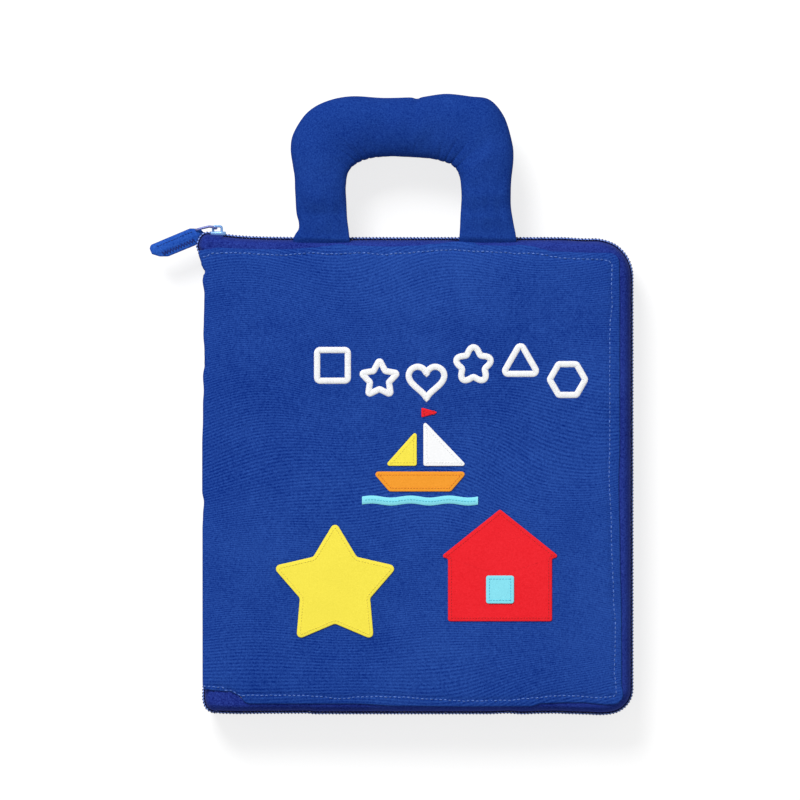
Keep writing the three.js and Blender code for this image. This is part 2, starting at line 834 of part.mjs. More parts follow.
function addCounters() {
  const leafTop = leafTopZ(1);
  const ribbonLow = leafTop + clearance + counterWall + clearance;
  const ribbonHigh = ribbonLow + ribbonThickness;
  const half = ribbonLength / 2;
  const inner = half - ribbonEndLength;
  const foot = leafTop + clearance;
  const profile = [
    [-half, foot], [-inner, foot], [-inner + ribbonThickness, ribbonLow], [inner - ribbonThickness, ribbonLow],
    [inner, foot], [half, foot], [half, ribbonHigh], [-half, ribbonHigh],
  ].map(([x, z]) => new THREE.Vector2(x, z));
  const ribbon = extruded(profile, [], ribbonWidth).rotateX(Math.PI / 2);
  ribbon.translate(leafCentreX, ribbonCentreY + ribbonWidth / 2, 0);
  add("counting_ribbon", ribbon, tabBlue, 0.8, 0);
  const section = (halfWidth, low, high) => [
    new THREE.Vector2(-halfWidth, low), new THREE.Vector2(halfWidth, low),
    new THREE.Vector2(halfWidth, high), new THREE.Vector2(-halfWidth, high),
  ];
  const slotHalf = ribbonWidth / 2 + clearance;
  const outerHalf = Math.max(counterWidth / 2, slotHalf + counterSideWall);
  const outer = section(outerHalf, foot, ribbonHigh + clearance + counterWall);
  const slot = section(slotHalf, ribbonLow - clearance, ribbonHigh + clearance);
  const colours = [feltRed, feltGreen, feltOrange];
  const pitch = counterLength + counterTravel + clearance;
  for (let index = 0; index < counterCount; index += 1) {
    const counter = extruded(outer, [slot], counterLength).rotateX(Math.PI / 2).rotateZ(Math.PI / 2);
    const left = leafCentreX - inner + clearance + ribbonThickness + index * pitch;
    counter.translate(left, ribbonCentreY, 0);
    add(`counter_${index + 1}`, counter, colours[index], 0.6, 0);
  }
}

addCounters();

// Felt shapes held by hook-and-loop

function addFeltShapes() {
  const low = leafTopZ(2) + clearance;
  const place = (geometry, x, y) => geometry.translate(leafCentreX + x, feltRowY + y, low);
  const circle = extruded(circlePoints(0, 0, feltRadius, 2 * arcSteps), [], feltThickness);
  const square = extruded(circlePoints(0, 0, feltRadius, 4), [], feltThickness).rotateZ(Math.PI / 4);
  const triangle = extruded(circlePoints(0, 0, feltRadius, 3), [], feltThickness).rotateZ(Math.PI / 2);
  add("felt_circle", place(circle, -feltSpacing, 0), feltRed, 0.95, 0);
  add("felt_square", place(square, 0, 0), feltGreen, 0.95, 0);
  add("felt_triangle", place(triangle, feltSpacing, 0), feltOrange, 0.95, 0);
}

addFeltShapes();

// Pocket with a short zip

function addPocket() {
  const panelLow = leafTopZ(3) + clearance;
  const box = {
    left: leafCentreX - pocketWidth / 2,
    right: leafCentreX + pocketWidth / 2,
    bottom: pocketCentreY - pocketHeight / 2,
    top: pocketCentreY + pocketHeight / 2,
  };
  const panelHigh = panelLow + pocketThickness;
  const edge = pocketThickness / 4;
  add("pocket_panel", slab(box, panelLow, panelHigh, pocketCorner, edge, upright), feltCyan, 0.9, 0);
  const zipY = box.top - pocketZipFromTop;
  const tapeLow = panelHigh + clearance;
  const tapeHigh = tapeLow + pocketZipTape;
  const ribHigh = tapeHigh + pocketZipRib;
  const [tape, rib] = [pocketZipWidth / 2, pocketZipRibWidth / 2];
  const profile = [
    [-tape, tapeLow], [tape, tapeLow], [tape, tapeHigh], [rib, tapeHigh],
    [rib, ribHigh], [-rib, ribHigh], [-rib, tapeHigh], [-tape, tapeHigh],
  ].map(([y, z]) => new THREE.Vector2(y, z));
  const lay = (geometry, x) => geometry.rotateX(Math.PI / 2).rotateZ(Math.PI / 2).translate(x, zipY, 0);
  const zipLeft = leafCentreX - pocketZipLength / 2;
  add("pocket_zip", lay(extruded(profile, [], pocketZipLength), zipLeft), tapeBlue, 0.7, 0);
  const slot = rib + clearance;
  const outer = Math.max(pocketSliderWidth / 2, slot + pocketSliderWall);
  const roofLow = ribHigh + clearance;
  const roofHigh = roofLow + pocketSliderRoof;
  const legLow = tapeHigh + clearance;
  const saddle = [
    [-outer, legLow], [-slot, legLow], [-slot, roofLow], [slot, roofLow],
    [slot, legLow], [outer, legLow], [outer, roofHigh], [-outer, roofHigh],
  ].map(([y, z]) => new THREE.Vector2(y, z));
  const sliderX = zipLeft + pocketSliderLength / 2;
  add("pocket_slider", lay(extruded(saddle, [], pocketSliderLength), sliderX), sliderSteel, 0.3, 0.9);
}

addPocket();

// Decoration of the front cover

const faceZ = caseThickness + clearance;

function addPatch(name, outline, holes, x, y, colour) {
  const geometry = extruded(outline, holes, appliqueThickness).translate(x, y, faceZ);
  add(name, geometry, colour, 0.85, 0);
}

const points2 = (list) => list.map(([x, y]) => new THREE.Vector2(x, y));

function starPoints(outer, inner, tips) {
  return Array.from({ length: 2 * tips }, (_, index) => {
    const radius = index % 2 === 0 ? outer : inner;
    const angle = Math.PI / 2 + (Math.PI * index) / tips;
    return new THREE.Vector2(radius * Math.cos(angle), radius * Math.sin(angle));
  });
}

function heartPoints(radius) {
  return Array.from({ length: arcSteps }, (_, index) => {
    const t = (2 * Math.PI * index) / arcSteps;
    const x = Math.sin(t) ** 3;
    const y = (13 * Math.cos(t) - 5 * Math.cos(2 * t) - 2 * Math.cos(3 * t) - Math.cos(4 * t)) / 16;
    return new THREE.Vector2(-radius * x, radius * y);
  });
}

function flowerPoints(radius) {
  return Array.from({ length: 2 * arcSteps }, (_, index) => {
    const t = (Math.PI * index) / arcSteps;
    const reach = radius * (1 - flowerDentShare * (1 - Math.cos(flowerPetals * t)));
    return new THREE.Vector2(reach * Math.sin(-t), reach * Math.cos(t));
  });
}

function addBand() {
  const inner = bandShapeRadius - bandStroke;
  const outlines = [
    ["square", (radius) => circlePoints(0, 0, radius, 4)],
    ["star", (radius) => starPoints(radius, radius * starInnerShare, 5)],
    ["heart", heartPoints],
    ["flower", flowerPoints],
    ["triangle", (radius) => starPoints(radius, radius / 2, 3)],
    ["hexagon", (radius) => circlePoints(0, 0, radius, 6)],
  ];
  outlines.forEach(([name, outline], index) => {
    const step = bandStepShares[index];
    const x = bandCentreX + bandPitch * step;
    const y = bandCentreY + bandWave * Math.sin((Math.PI * step) / 2);
    addPatch(`stitched_${name}`, outline(bandShapeRadius), [outline(inner)], x, y, threadWhite);
  });
}

function addHouse() {
  const half = houseWidth / 2;
  const wall = houseWallHeight / 2;
  const outline = points2([
    [-half, -wall], [half, -wall], [half, wall], [half + houseEaves, wall],
    [0, wall + houseRoofHeight], [-half - houseEaves, wall], [-half, wall],
  ]);
  const frame = (by) => points2([[-by, -by], [by, -by], [by, by], [-by, by]]);
  const pane = houseWindow / 2;
  addPatch("house_patch", outline, [frame(pane + clearance)], houseX, houseY, feltRed);
  addPatch("window_patch", frame(pane), [], houseX, houseY, feltCyan);
}

function addBoat() {
  const hull = boatHullWidth / 2;
  const bottom = -boatHullHeight / 2;
  const deck = boatHullHeight / 2;
  const sailFoot = deck + boatPieceGap;
  const sailTop = sailFoot + boatSailHeight;
  const mast = boatPieceGap / 2;
  const bow = boatHullHeight;
  const waveTop = bottom - boatPieceGap;
  const waveHalf = boatWaveWidth / 2;
  const crest = boatWaveHeight / 4;
  const edge = (base, turned) => Array.from({ length: waveSteps + 1 }, (_, step) => {
    const share = turned ? 1 - step / waveSteps : step / waveSteps;
    return [-waveHalf + boatWaveWidth * share, base + crest * Math.sin(2 * Math.PI * waveCount * share)];
  });
  const low = waveTop - boatWaveHeight;
  const waves = points2([...edge(low, false), ...edge(waveTop - crest, true)]);
  const hullShape = points2([[-hull + bow, bottom], [hull - bow, bottom], [hull, deck], [-hull, deck]]);
  const mainSail = points2([[mast, sailFoot], [mast + boatMainSailWidth, sailFoot], [mast, sailTop]]);
  const jib = points2([
    [-mast - boatJibWidth, sailFoot], [-mast, sailFoot], [-mast, sailTop - boatPennantHeight],
  ]);
  const flagLow = sailTop + boatPieceGap;
  const pennant = points2([
    [0, flagLow], [boatPennantWidth, flagLow + boatPennantHeight / 2], [0, flagLow + boatPennantHeight],
  ]);
  addPatch("boat_hull_patch", hullShape, [], boatX, boatY, feltOrange);
  addPatch("boat_main_sail_patch", mainSail, [], boatX, boatY, threadWhite);
  addPatch("boat_jib_patch", jib, [], boatX, boatY, threadWhite);
  addPatch("boat_pennant_patch", pennant, [], boatX, boatY, feltRed);
  addPatch("boat_waves_patch", waves, [], boatX, boatY, feltCyan);
}

addBand();
addPatch("star_patch", starPoints(starRadius, starRadius * starInnerShare, 5), [], starX, starY, feltYellow);
addHouse();
addBoat();

// The origin goes under the middle of the whole part
const bounds = new THREE.Box3().setFromObject(group);
const middle = bounds.getCenter(new THREE.Vector3());
group.position.set(-middle.x, -middle.y, -bounds.min.z);
group.updateMatrixWorld(true);

export default group;
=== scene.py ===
# %% [markdown]
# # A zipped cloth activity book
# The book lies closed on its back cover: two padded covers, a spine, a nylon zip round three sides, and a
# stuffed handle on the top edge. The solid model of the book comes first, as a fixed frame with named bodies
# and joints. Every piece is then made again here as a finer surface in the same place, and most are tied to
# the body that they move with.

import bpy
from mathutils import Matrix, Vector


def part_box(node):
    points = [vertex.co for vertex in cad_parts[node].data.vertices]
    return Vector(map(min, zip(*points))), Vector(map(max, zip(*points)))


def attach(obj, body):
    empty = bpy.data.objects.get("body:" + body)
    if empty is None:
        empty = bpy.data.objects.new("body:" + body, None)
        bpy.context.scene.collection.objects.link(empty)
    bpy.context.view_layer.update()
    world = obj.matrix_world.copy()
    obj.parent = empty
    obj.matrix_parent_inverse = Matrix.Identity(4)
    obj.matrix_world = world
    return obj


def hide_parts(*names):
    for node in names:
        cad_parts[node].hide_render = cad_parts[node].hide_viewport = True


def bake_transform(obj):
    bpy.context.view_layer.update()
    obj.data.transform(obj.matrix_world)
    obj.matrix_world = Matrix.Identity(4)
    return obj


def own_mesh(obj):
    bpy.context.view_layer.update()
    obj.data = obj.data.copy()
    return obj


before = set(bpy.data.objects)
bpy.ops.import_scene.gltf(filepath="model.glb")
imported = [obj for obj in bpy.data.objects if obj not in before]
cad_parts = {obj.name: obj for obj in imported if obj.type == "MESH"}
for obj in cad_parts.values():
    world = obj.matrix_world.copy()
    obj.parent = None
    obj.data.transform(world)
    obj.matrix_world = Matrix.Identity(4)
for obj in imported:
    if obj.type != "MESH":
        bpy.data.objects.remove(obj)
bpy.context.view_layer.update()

import bpy
import numpy as np
from mathutils import Vector

MM = 0.001


def box(node):
    """Lowest and highest corner of a solid of the frame, in millimetres."""
    return [np.array(corner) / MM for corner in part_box(node)]


# %% [markdown]
# ## Skins from arrays
# Every surface is a grid of points in millimetres: rows along the piece, columns across it. Its faces follow
# from counting, so a whole piece is worked out with arrays. Each face corner also gets a place on the cloth,
# in millimetres of thread, so that a weave keeps its real size where the surface bends. A piece may hold
# several closed skins, and each is turned to face outwards by the sign of its volume.

# %% Lines of points
def looped(line):
    """A line of points with its first one again at its end, so that it closes."""
    return np.concatenate([line, line[:1]])


def lengths_along(line):
    """Length of the line up to each of its points: a running sum of the steps."""
    return np.concatenate([[0.0], np.cumsum(np.linalg.norm(np.diff(line, axis=0), axis=1))])


def unit(vectors):
    """The same directions, one in each row, with length one."""
    return vectors / np.linalg.norm(vectors, axis=1, keepdims=True)


# %% Faces of a grid
def grid_corners(rows, columns, wrap):
    """Row and column of each face's four corners. A wrapped direction has one more face, back to its
    start."""
    r, c = np.meshgrid(np.arange(rows - 1 + wrap[0]), np.arange(columns - 1 + wrap[1]), indexing="ij")
    return np.stack([r, r + 1, r + 1, r], -1).reshape(-1, 4), np.stack([c, c, c + 1, c + 1], -1).reshape(-1,
        4)


def thread_map(points, wrap):
    """Length along the rows and along the columns of a grid, measured on its two middle lines."""
    sides = []
    for axis in (0, 1):
        line = np.take(points, points.shape[1 - axis] // 2, axis=1 - axis)
        sides.append(lengths_along(looped(line) if wrap[axis] else line))
    return np.stack(np.meshgrid(*sides, indexing="ij"), -1)


def outwards(skin):
    """The skin with its faces turned round if its signed volume, the sum over its faces, is below zero."""
    points, faces, places = skin
    volume = 0
    for part in faces:
        a, b, c = (points[part[:, k]] for k in range(3))
        volume += np.einsum("ij,ij->", a, np.cross(b, c))
        if part.shape[1] == 4:
            volume += np.einsum("ij,ij->", a, np.cross(c, points[part[:, 3]]))
    if volume >= 0:
        return skin
    return points, [part[:, ::-1] for part in faces], [place[:, ::-1] for place in places]


def grid_skin(points, wrap=(False, False), capped=True, places=None):
    """A skin through a grid of points. capped closes its first and last row with a fan, for a tube or a
    pad."""
    rows, columns = points.shape[:2]
    if places is None:
        places = thread_map(points, wrap)
    r, c = grid_corners(rows, columns, wrap)
    faces = [(r % rows) * columns + c % columns]
    on_cloth = [places[r % len(places), c % places.shape[1]]]
    vertices = points.reshape(-1, 3)
    if not capped:
        return vertices, faces, on_cloth
    around = np.arange(columns)
    following = (around + 1) % columns
    for row, hub in ((0, len(vertices)), (rows - 1, len(vertices) + 1)):
        first, second = (following, around) if row == 0 else (around, following)
        middle = np.full(columns, hub)
        faces.append(np.stack([row * columns + second, middle, row * columns + first], -1))
        ring = places[row, :columns]
        hub_place = np.repeat(ring.mean(0)[None], columns, 0)
        on_cloth.append(np.stack([ring[second], hub_place, ring[first]], 1))
    vertices = np.concatenate([vertices, points[0].mean(0)[None], points[-1].mean(0)[None]])
    return outwards((vertices, faces, on_cloth))


# %% [markdown]
# ## One small shape, many times
# Stitches come in hundreds. Each is one shape of a few dozen faces, with a place and a direction of its own,
# and one product of arrays puts them all into a single skin. Each also takes its own stretch of thread, so
# that no two stitches have the same tone.

# %% Copies of a small shape
THREAD_BETWEEN_COPIES = 3.7
UP = [0.0, 0.0, 1.0]
CAPSULE_ENDS = 0.46 * np.pi


def capsule(length, radius, stations=5, sides=6):
    """A short round thread along x: circles whose radius falls towards the ends as an ellipse does."""
    share = np.sin(np.linspace(-CAPSULE_ENDS, CAPSULE_ENDS, stations))
    angle = np.linspace(0, 2 * np.pi, sides, endpoint=False)
    thin = radius * np.sqrt(1 - share**2) ** 0.6
    x = np.repeat((share * length / 2)[:, None], sides, 1)
    return np.stack([x, thin[:, None] * np.cos(angle), thin[:, None] * np.sin(angle)], -1)


def copies(shape, origins, along):
    """One skin of many copies. The shape's x runs along each copy's direction, and its z leans to the book's
    up."""
    points, faces, places = grid_skin(shape, wrap=(False, True))
    along = unit(along)
    side = unit(np.cross(UP, along))
    turn = np.stack([along, side, np.cross(along, side)], 1)
    moved = (origins[:, None] + points @ turn).reshape(-1, 3)
    step = (np.arange(len(origins)) * len(points))[:, None, None]
    further = (np.arange(len(origins)) * THREAD_BETWEEN_COPIES)[:, None, None, None] * np.array([1.0, 0.0])
    return (moved, [(part[None] + step).reshape(-1, part.shape[1]) for part in faces],
            [(place[None] + further).reshape(-1, *place.shape[1:]) for place in places])


# %% [markdown]
# ## From skins to a piece of the book
# One function fills the mesh, gives it its cloth, and, given a body, ties it to the book. A piece stands for
# the plain solid of the same name, which is then hidden. A few pieces are made without a body and are tied
# to nothing.

# %% Make a piece
def make(name, skins, body, finish, stands_for=(), smooth_below=60):
    """Fills a mesh, in metres, from skins in millimetres. Edges that turn by less than smooth_below degrees
    are shaded smooth. Without a body the piece is tied to nothing. It prints how many faces the piece has."""
    mesh = bpy.data.meshes.new(name)
    starts = np.cumsum([0] + [len(skin[0]) for skin in skins])
    faces = [part + start for skin, start in zip(skins, starts) for part in skin[1]]
    on_cloth = [place.reshape(-1, 2) for skin in skins for place in skin[2]]
    points = np.concatenate([skin[0] for skin in skins]) * MM
    sizes = np.concatenate([np.full(len(part), part.shape[1]) for part in faces])
    corners = np.concatenate([part.ravel() for part in faces])
    mesh.vertices.add(len(points))
    mesh.vertices.foreach_set("co", points.astype(np.float32).ravel())
    mesh.loops.add(len(corners))
    mesh.loops.foreach_set("vertex_index", corners.astype(np.int32))
    mesh.polygons.add(len(sizes))
    mesh.polygons.foreach_set("loop_start", (np.cumsum(sizes) - sizes).astype(np.int32))
    mesh.update(calc_edges=True)
    layer = mesh.uv_layers.new(name="thread")
    layer.data.foreach_set("uv", np.concatenate(on_cloth).astype(np.float32).ravel())
    mesh.polygons.foreach_set("use_smooth", np.ones(len(sizes), bool))
    mesh.set_sharp_from_angle(angle=np.radians(smooth_below))
    piece = bpy.data.objects.new(name, mesh)
    bpy.context.scene.collection.objects.link(piece)
    mesh.materials.append(finish)
    if body:
        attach(piece, body)
    if stands_for:
        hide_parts(*stands_for)
    print(f"{name}: {len(sizes)} faces")
    return piece


# %% [markdown]
# ## Lines through a few points
# Edges of sewn cloth aren't straight. A few points measured in the photograph, joined by smooth steps or a
# curve, give the line, and it is walked at even steps where stitches or teeth sit on it.

# %% Smooth lines
PIXEL = 0.5
PIXEL_X, PIXEL_Y = 391.3, 405.3


def from_pixels(points):
    """Places in the photograph to the book's millimetres, half a millimetre a pixel."""
    return (np.array(points, float) - [PIXEL_X, PIXEL_Y]) * [PIXEL, -PIXEL]


def eased(knots, at):
    """Value at each place, through knots of (place, value), with a smooth step from each knot to the next."""
    where, value = np.array(knots).T
    k = np.clip(np.searchsorted(where, at, side="right") - 1, 0, len(where) - 2)
    share = np.clip((at - where[k]) / (where[k + 1] - where[k]), 0, 1)
    return value[k] + (value[k + 1] - value[k]) * share**2 * (3 - 2 * share)


def curve_through(points, count):
    """A smooth curve through the points: each span is a cubic whose slopes follow its neighbours."""
    points = np.asarray(points, float)
    ends = np.concatenate([2 * points[:1] - points[1:2], points, 2 * points[-1:] - points[-2:-1]])
    t = np.linspace(0, len(points) - 1, count)
    k = np.minimum(t.astype(int), len(points) - 2)
    f = (t - k)[:, None]
    p0, p1, p2, p3 = (ends[k + shift] for shift in range(4))
    return 0.5 * (2 * p1 + (p2 - p0) * f + (2 * p0 - 5 * p1 + 4 * p2 - p3) * f**2
                  + (3 * p1 - p0 - 3 * p2 + p3) * f**3)


def walked(line, step):
    """Points at about even steps along a line, the direction at each, and how far along it lies."""
    length = lengths_along(line)
    count = max(2, int(round(length[-1] / step)) + 1)
    at = np.linspace(0, length[-1], count)
    points, ahead, behind = (np.stack([np.interp(at + shift, length, line[:, k])
                                       for k in range(line.shape[1])], -1)
                             for shift in (0, step / 4, -step / 4))
    return points, unit(ahead - behind), at


def route(corners, radii, step):
    """Straight runs joined by arcs, at even steps. Each corner is cut back by radius times tan of half its
    turn."""
    line = [np.array(corners[0], float)[None]]
    for before, corner, after, radius in zip(corners[:-2], corners[1:-1], corners[2:], radii):
        before, corner, after = (np.array(point, float) for point in (before, corner, after))
        into = (corner - before) / np.linalg.norm(corner - before)
        out = (after - corner) / np.linalg.norm(after - corner)
        turn = np.arccos(np.clip(into @ out, -1, 1))
        toward = (out - into) / np.linalg.norm(out - into)
        centre = corner + toward * radius / np.cos(turn / 2)
        angle = np.linspace(-turn / 2, turn / 2, 24)[:, None]
        line.append(centre + radius * (np.cos(angle) * -toward + np.sin(angle) * (into + out)
                                       / np.linalg.norm(into + out)))
    line.append(np.array(corners[-1], float)[None])
    return walked(np.concatenate(line), step)


def ripples(x, y, size, seed, count=7):
    """Soft unevenness from about -1 to 1: sines in seeded directions, with waves of about the given size."""
    rng = np.random.default_rng(seed)
    angle, phase = rng.uniform(0, np.pi, count), rng.uniform(0, 2 * np.pi, count)
    wave = size * rng.uniform(0.7, 1.6, count)
    total = sum(np.sin(2 * np.pi * (x * np.cos(a) + y * np.sin(a)) / w + p)
                for a, p, w in zip(angle, phase, wave))
    return total / np.sqrt(2 * count)


# %% [markdown]
# ## Effects that the cloths share
# The book is nearly all cloth, so the plain weave, the slubs and fading, the strands of a thread and the fuzz
# of felt are node groups. Each is built once, reads millimetres of cloth, and gives out a height and a mask.
# The shader itself stays in each material, with its own colours, roughness and sheen.

# %% Node helpers
def linear(red, green, blue):
    """A colour given as the 0 to 255 of a screen, as the linear light that a shader takes."""
    share = np.array([red, green, blue]) / 255
    light = np.where(share <= 0.04045, share / 12.92, ((share + 0.055) / 1.055) ** 2.4)
    return (*light.tolist(), 1.0)


def node(tree, kind, values=(), **settings):
    """A node with its settings, whose inputs by name or number are linked to a socket or set to a value."""
    made = tree.nodes.new(kind)
    for key, value in settings.items():
        setattr(made, key, value)
    for key, value in dict(values).items():
        if isinstance(value, bpy.types.NodeSocket):
            tree.links.new(value, made.inputs[key])
        else:
            made.inputs[key].default_value = value
    return made


def math(tree, operation, first, second=0.0):
    """The output of one Math node."""
    return node(tree, "ShaderNodeMath", {0: first, 1: second}, operation=operation).outputs[0]


def noise(tree, place, scale, detail, flat=False, **more):
    """The value of a noise, flat for a place on the cloth or solid for a place in the piece."""
    return node(tree, "ShaderNodeTexNoise", {"Vector": place, "Scale": scale, "Detail": detail, **more},
                noise_dimensions="2D" if flat else "3D").outputs[0]


def effect(name, inputs, outputs):
    """An empty node group with its named inputs and outputs, and its two end nodes."""
    group = bpy.data.node_groups.new(name, "ShaderNodeTree")
    for title, kind, value in inputs:
        socket = group.interface.new_socket(title, in_out="INPUT", socket_type="NodeSocket" + kind)
        if kind == "Float":
            socket.default_value = value
    for title, kind in outputs:
        group.interface.new_socket(title, in_out="OUTPUT", socket_type="NodeSocket" + kind)
    return group, group.nodes.new("NodeGroupInput"), group.nodes.new("NodeGroupOutput")


# %% Plain weave
BAR_STEP = 1.25
BAR_BEND = 42.0
BAR_BEND_SCALE = 0.011
BAR_BREAK_SCALE = 0.2
SLUB_SCALE = 1.3
SLUB_STRETCHES = ((0.8, 1.3, 1.0), (1.3, 0.8, 1.0))


def build_weave():
    """Threads over and under: along each thread the height is a sine, and the next thread is half a wave
    behind, so the height is the product of two sines. Noise stretched along the thread gives thick and thin
    places, the slubs. Bars are rows that lie closer together: a sine across the cloth, at places bent by a
    slow noise, strong here and faint there."""
    inputs = [("Place", "Vector", 0), ("Grain", "Vector", 0), ("Pitch", "Float", 0.4)]
    group, given, out = effect("plain weave", inputs, [("Height", "Float"), ("Slub", "Float"),
        ("Bar", "Float")])
    share = node(group, "ShaderNodeVectorMath", {0: given.outputs["Place"]}, operation="SCALE")
    group.links.new(math(group, "DIVIDE", np.pi, given.outputs["Pitch"]), share.inputs["Scale"])
    parts = node(group, "ShaderNodeSeparateXYZ", {0: share.outputs[0]})
    waves = [math(group, "SINE", parts.outputs[axis]) for axis in (0, 1)]
    over = math(group, "MULTIPLY", *waves)
    height = math(group, "MULTIPLY", math(group, "ADD", over, 1.0), 0.5)
    slubs = []
    for stretch in SLUB_STRETCHES:
        long = node(group, "ShaderNodeMapping", {"Vector": given.outputs["Grain"], "Scale": stretch})
        slubs.append(noise(group, long.outputs[0], SLUB_SCALE, 2.0))
    slow = noise(group, given.outputs["Place"], BAR_BEND_SCALE, 0.0, flat=True)
    across = node(group, "ShaderNodeSeparateXYZ", {0: given.outputs["Place"]}).outputs[1]
    bent = math(group, "ADD", across, math(group, "MULTIPLY", slow, BAR_BEND))
    broken = noise(group, given.outputs["Place"], BAR_BREAK_SCALE, 1.0, flat=True)
    bar = math(group, "SINE", math(group, "MULTIPLY", bent, 2 * np.pi / BAR_STEP))
    group.links.new(math(group, "ADD", math(group, "MULTIPLY", bar, broken), 0.5), out.inputs["Bar"])
    group.links.new(height, out.inputs["Height"])
    group.links.new(math(group, "MULTIPLY", math(group, "ADD", *slubs), 0.5), out.inputs["Slub"])
    return group


weave_effect = build_weave()


# %% Mottle, strands and fuzz
def build_mottle():
    """Slow change of tone over a piece: two noises, one of about a hand's width and one of about a
    finger's."""
    group, given, out = effect("mottle", [("Place", "Vector", 0), ("Size", "Float", 25)], [("Mask", "Float")])
    size = given.outputs["Size"]
    near = noise(group, given.outputs["Place"], math(group, "DIVIDE", 1000.0, size), 3.0, Roughness=0.6)
    wide = noise(group, given.outputs["Place"], math(group, "DIVIDE", 250.0, size), 1.0)
    group.links.new(math(group, "MULTIPLY", math(group, "ADD", near, wide), 0.5), out.inputs["Mask"])
    return group


def build_strands():
    """Fine threads laid side by side: the height is a sine across them, wavering with a noise."""
    group, given, out = effect("strands", [("Place", "Vector", 0), ("Pitch", "Float", 0.3)],
                               [("Height", "Float")])
    waver = noise(group, given.outputs["Place"], 0.8, 1.0, flat=True)
    across = node(group, "ShaderNodeSeparateXYZ", {0: given.outputs["Place"]}).outputs[0]
    shifted = math(group, "ADD", across, math(group, "MULTIPLY", waver, 0.35))
    turns = math(group, "DIVIDE", math(group, "MULTIPLY", shifted, 2 * np.pi), given.outputs["Pitch"])
    group.links.new(math(group, "MULTIPLY", math(group, "ADD", math(group, "SINE", turns), 1.0), 0.5),
                    out.inputs["Height"])
    return group


def build_fuzz():
    """Pressed fibres: fine noise with many octaves over a coarser one."""
    group, given, out = effect("fuzz", [("Place", "Vector", 0)], [("Height", "Float")])
    fine = noise(group, given.outputs["Place"], 2600.0, 4.0, Roughness=0.7, Distortion=0.6)
    coarse = noise(group, given.outputs["Place"], 420.0, 2.0)
    group.links.new(math(group, "MULTIPLY", math(group, "ADD", fine, coarse), 0.5), out.inputs["Height"])
    return group


mottle_effect, strand_effect, fuzz_effect = build_mottle(), build_strands(), build_fuzz()


# %% [markdown]
# ## The finishes
# A woven cloth mixes a darker and a lighter tone of its colour by its slubs and its mottle, and its weave and
# slubs raise the surface. Thread, felt, moulded plastic and plated metal differ in what they mix and how they
# shine. The colours are the screen colours that the cloth has in plain light.

# %% Finish parts
def shader(name, rough, sheen=0.0, metal=0.0, coat=0.0, gloss=0.5):
    """A material with its shader, and the constants that a shader keeps on its own sockets. Dyed fibres shine
    less than a solid, so cloth takes a low gloss."""
    material = bpy.data.materials.new(name)
    material.use_nodes = True
    tree = material.node_tree
    principled = tree.nodes["Principled BSDF"]
    principled.inputs["Roughness"].default_value = rough
    principled.inputs["Metallic"].default_value = metal
    principled.inputs["Sheen Weight"].default_value = sheen
    principled.inputs["Sheen Roughness"].default_value = 0.4
    principled.inputs["Coat Weight"].default_value = coat
    principled.inputs["Specular IOR Level"].default_value = gloss
    return material, tree, principled


def use(tree, group, **values):
    """The outputs of a node group placed in a material."""
    return node(tree, "ShaderNodeGroup", values, node_tree=group).outputs


def toned(tree, principled, colour, depth, mask, spread=0.2):
    """Base colour from a tone that is depth screen steps darker to one that is as much lighter. The mask lies
    round 0.5, by about spread each way."""
    share = node(tree, "ShaderNodeMapRange", {"Value": mask, "From Min": 0.5 - spread,
                                              "From Max": 0.5 + spread})
    mix = node(tree, "ShaderNodeMix", {"Factor": share.outputs[0]}, data_type="RGBA")
    for socket, steps in ((mix.inputs[6], -depth), (mix.inputs[7], depth)):
        socket.default_value = linear(*np.clip(np.array(colour) + steps, 0, 255))
    tree.links.new(mix.outputs[2], principled.inputs["Base Color"])


def raised(tree, principled, height, distance):
    """A bump of the given height in metres."""
    bump = node(tree, "ShaderNodeBump", {"Height": height, "Distance": distance, "Strength": 1.0})
    tree.links.new(bump.outputs[0], principled.inputs["Normal"])


# %% Woven cloth, thread and felt
CLOTH_GLOSS = 0.08
SHARE_OF_MOTTLE = 0.26
TONE_SPREAD = 0.14
THREAD_SHARE = 0.6
FELT_RELIEF = 0.00018


def woven(name, colour, pitch=0.42, depth=7, weave=0.00008, rough=0.9, sheen=0.01, size=22, bars=0.02):
    """Cloth whose tone follows its slubs, its mottle and its bars, and whose surface is raised by its
    threads."""
    material, tree, principled = shader(name, rough, sheen, gloss=CLOTH_GLOSS)
    thread = node(tree, "ShaderNodeUVMap", uv_map="thread").outputs[0]
    place = node(tree, "ShaderNodeTexCoord").outputs["Object"]
    grain = node(tree, "ShaderNodeVectorMath", {0: place, "Scale": 1 / MM}, operation="SCALE").outputs[0]
    cloth = use(tree, weave_effect, Place=thread, Grain=grain, Pitch=pitch)
    mottle = use(tree, mottle_effect, Place=place, Size=size)
    tone = math(tree, "MULTIPLY", mottle[0], SHARE_OF_MOTTLE)
    mask = math(tree, "ADD", tone, math(tree, "MULTIPLY", cloth["Slub"], 1 - SHARE_OF_MOTTLE - bars))
    mask = math(tree, "ADD", mask, math(tree, "MULTIPLY", cloth["Bar"], bars))
    toned(tree, principled, colour, depth, mask, spread=TONE_SPREAD)
    height = math(tree, "ADD", math(tree, "MULTIPLY", cloth["Height"], THREAD_SHARE), cloth["Slub"])
    raised(tree, principled, height, weave)
    return material


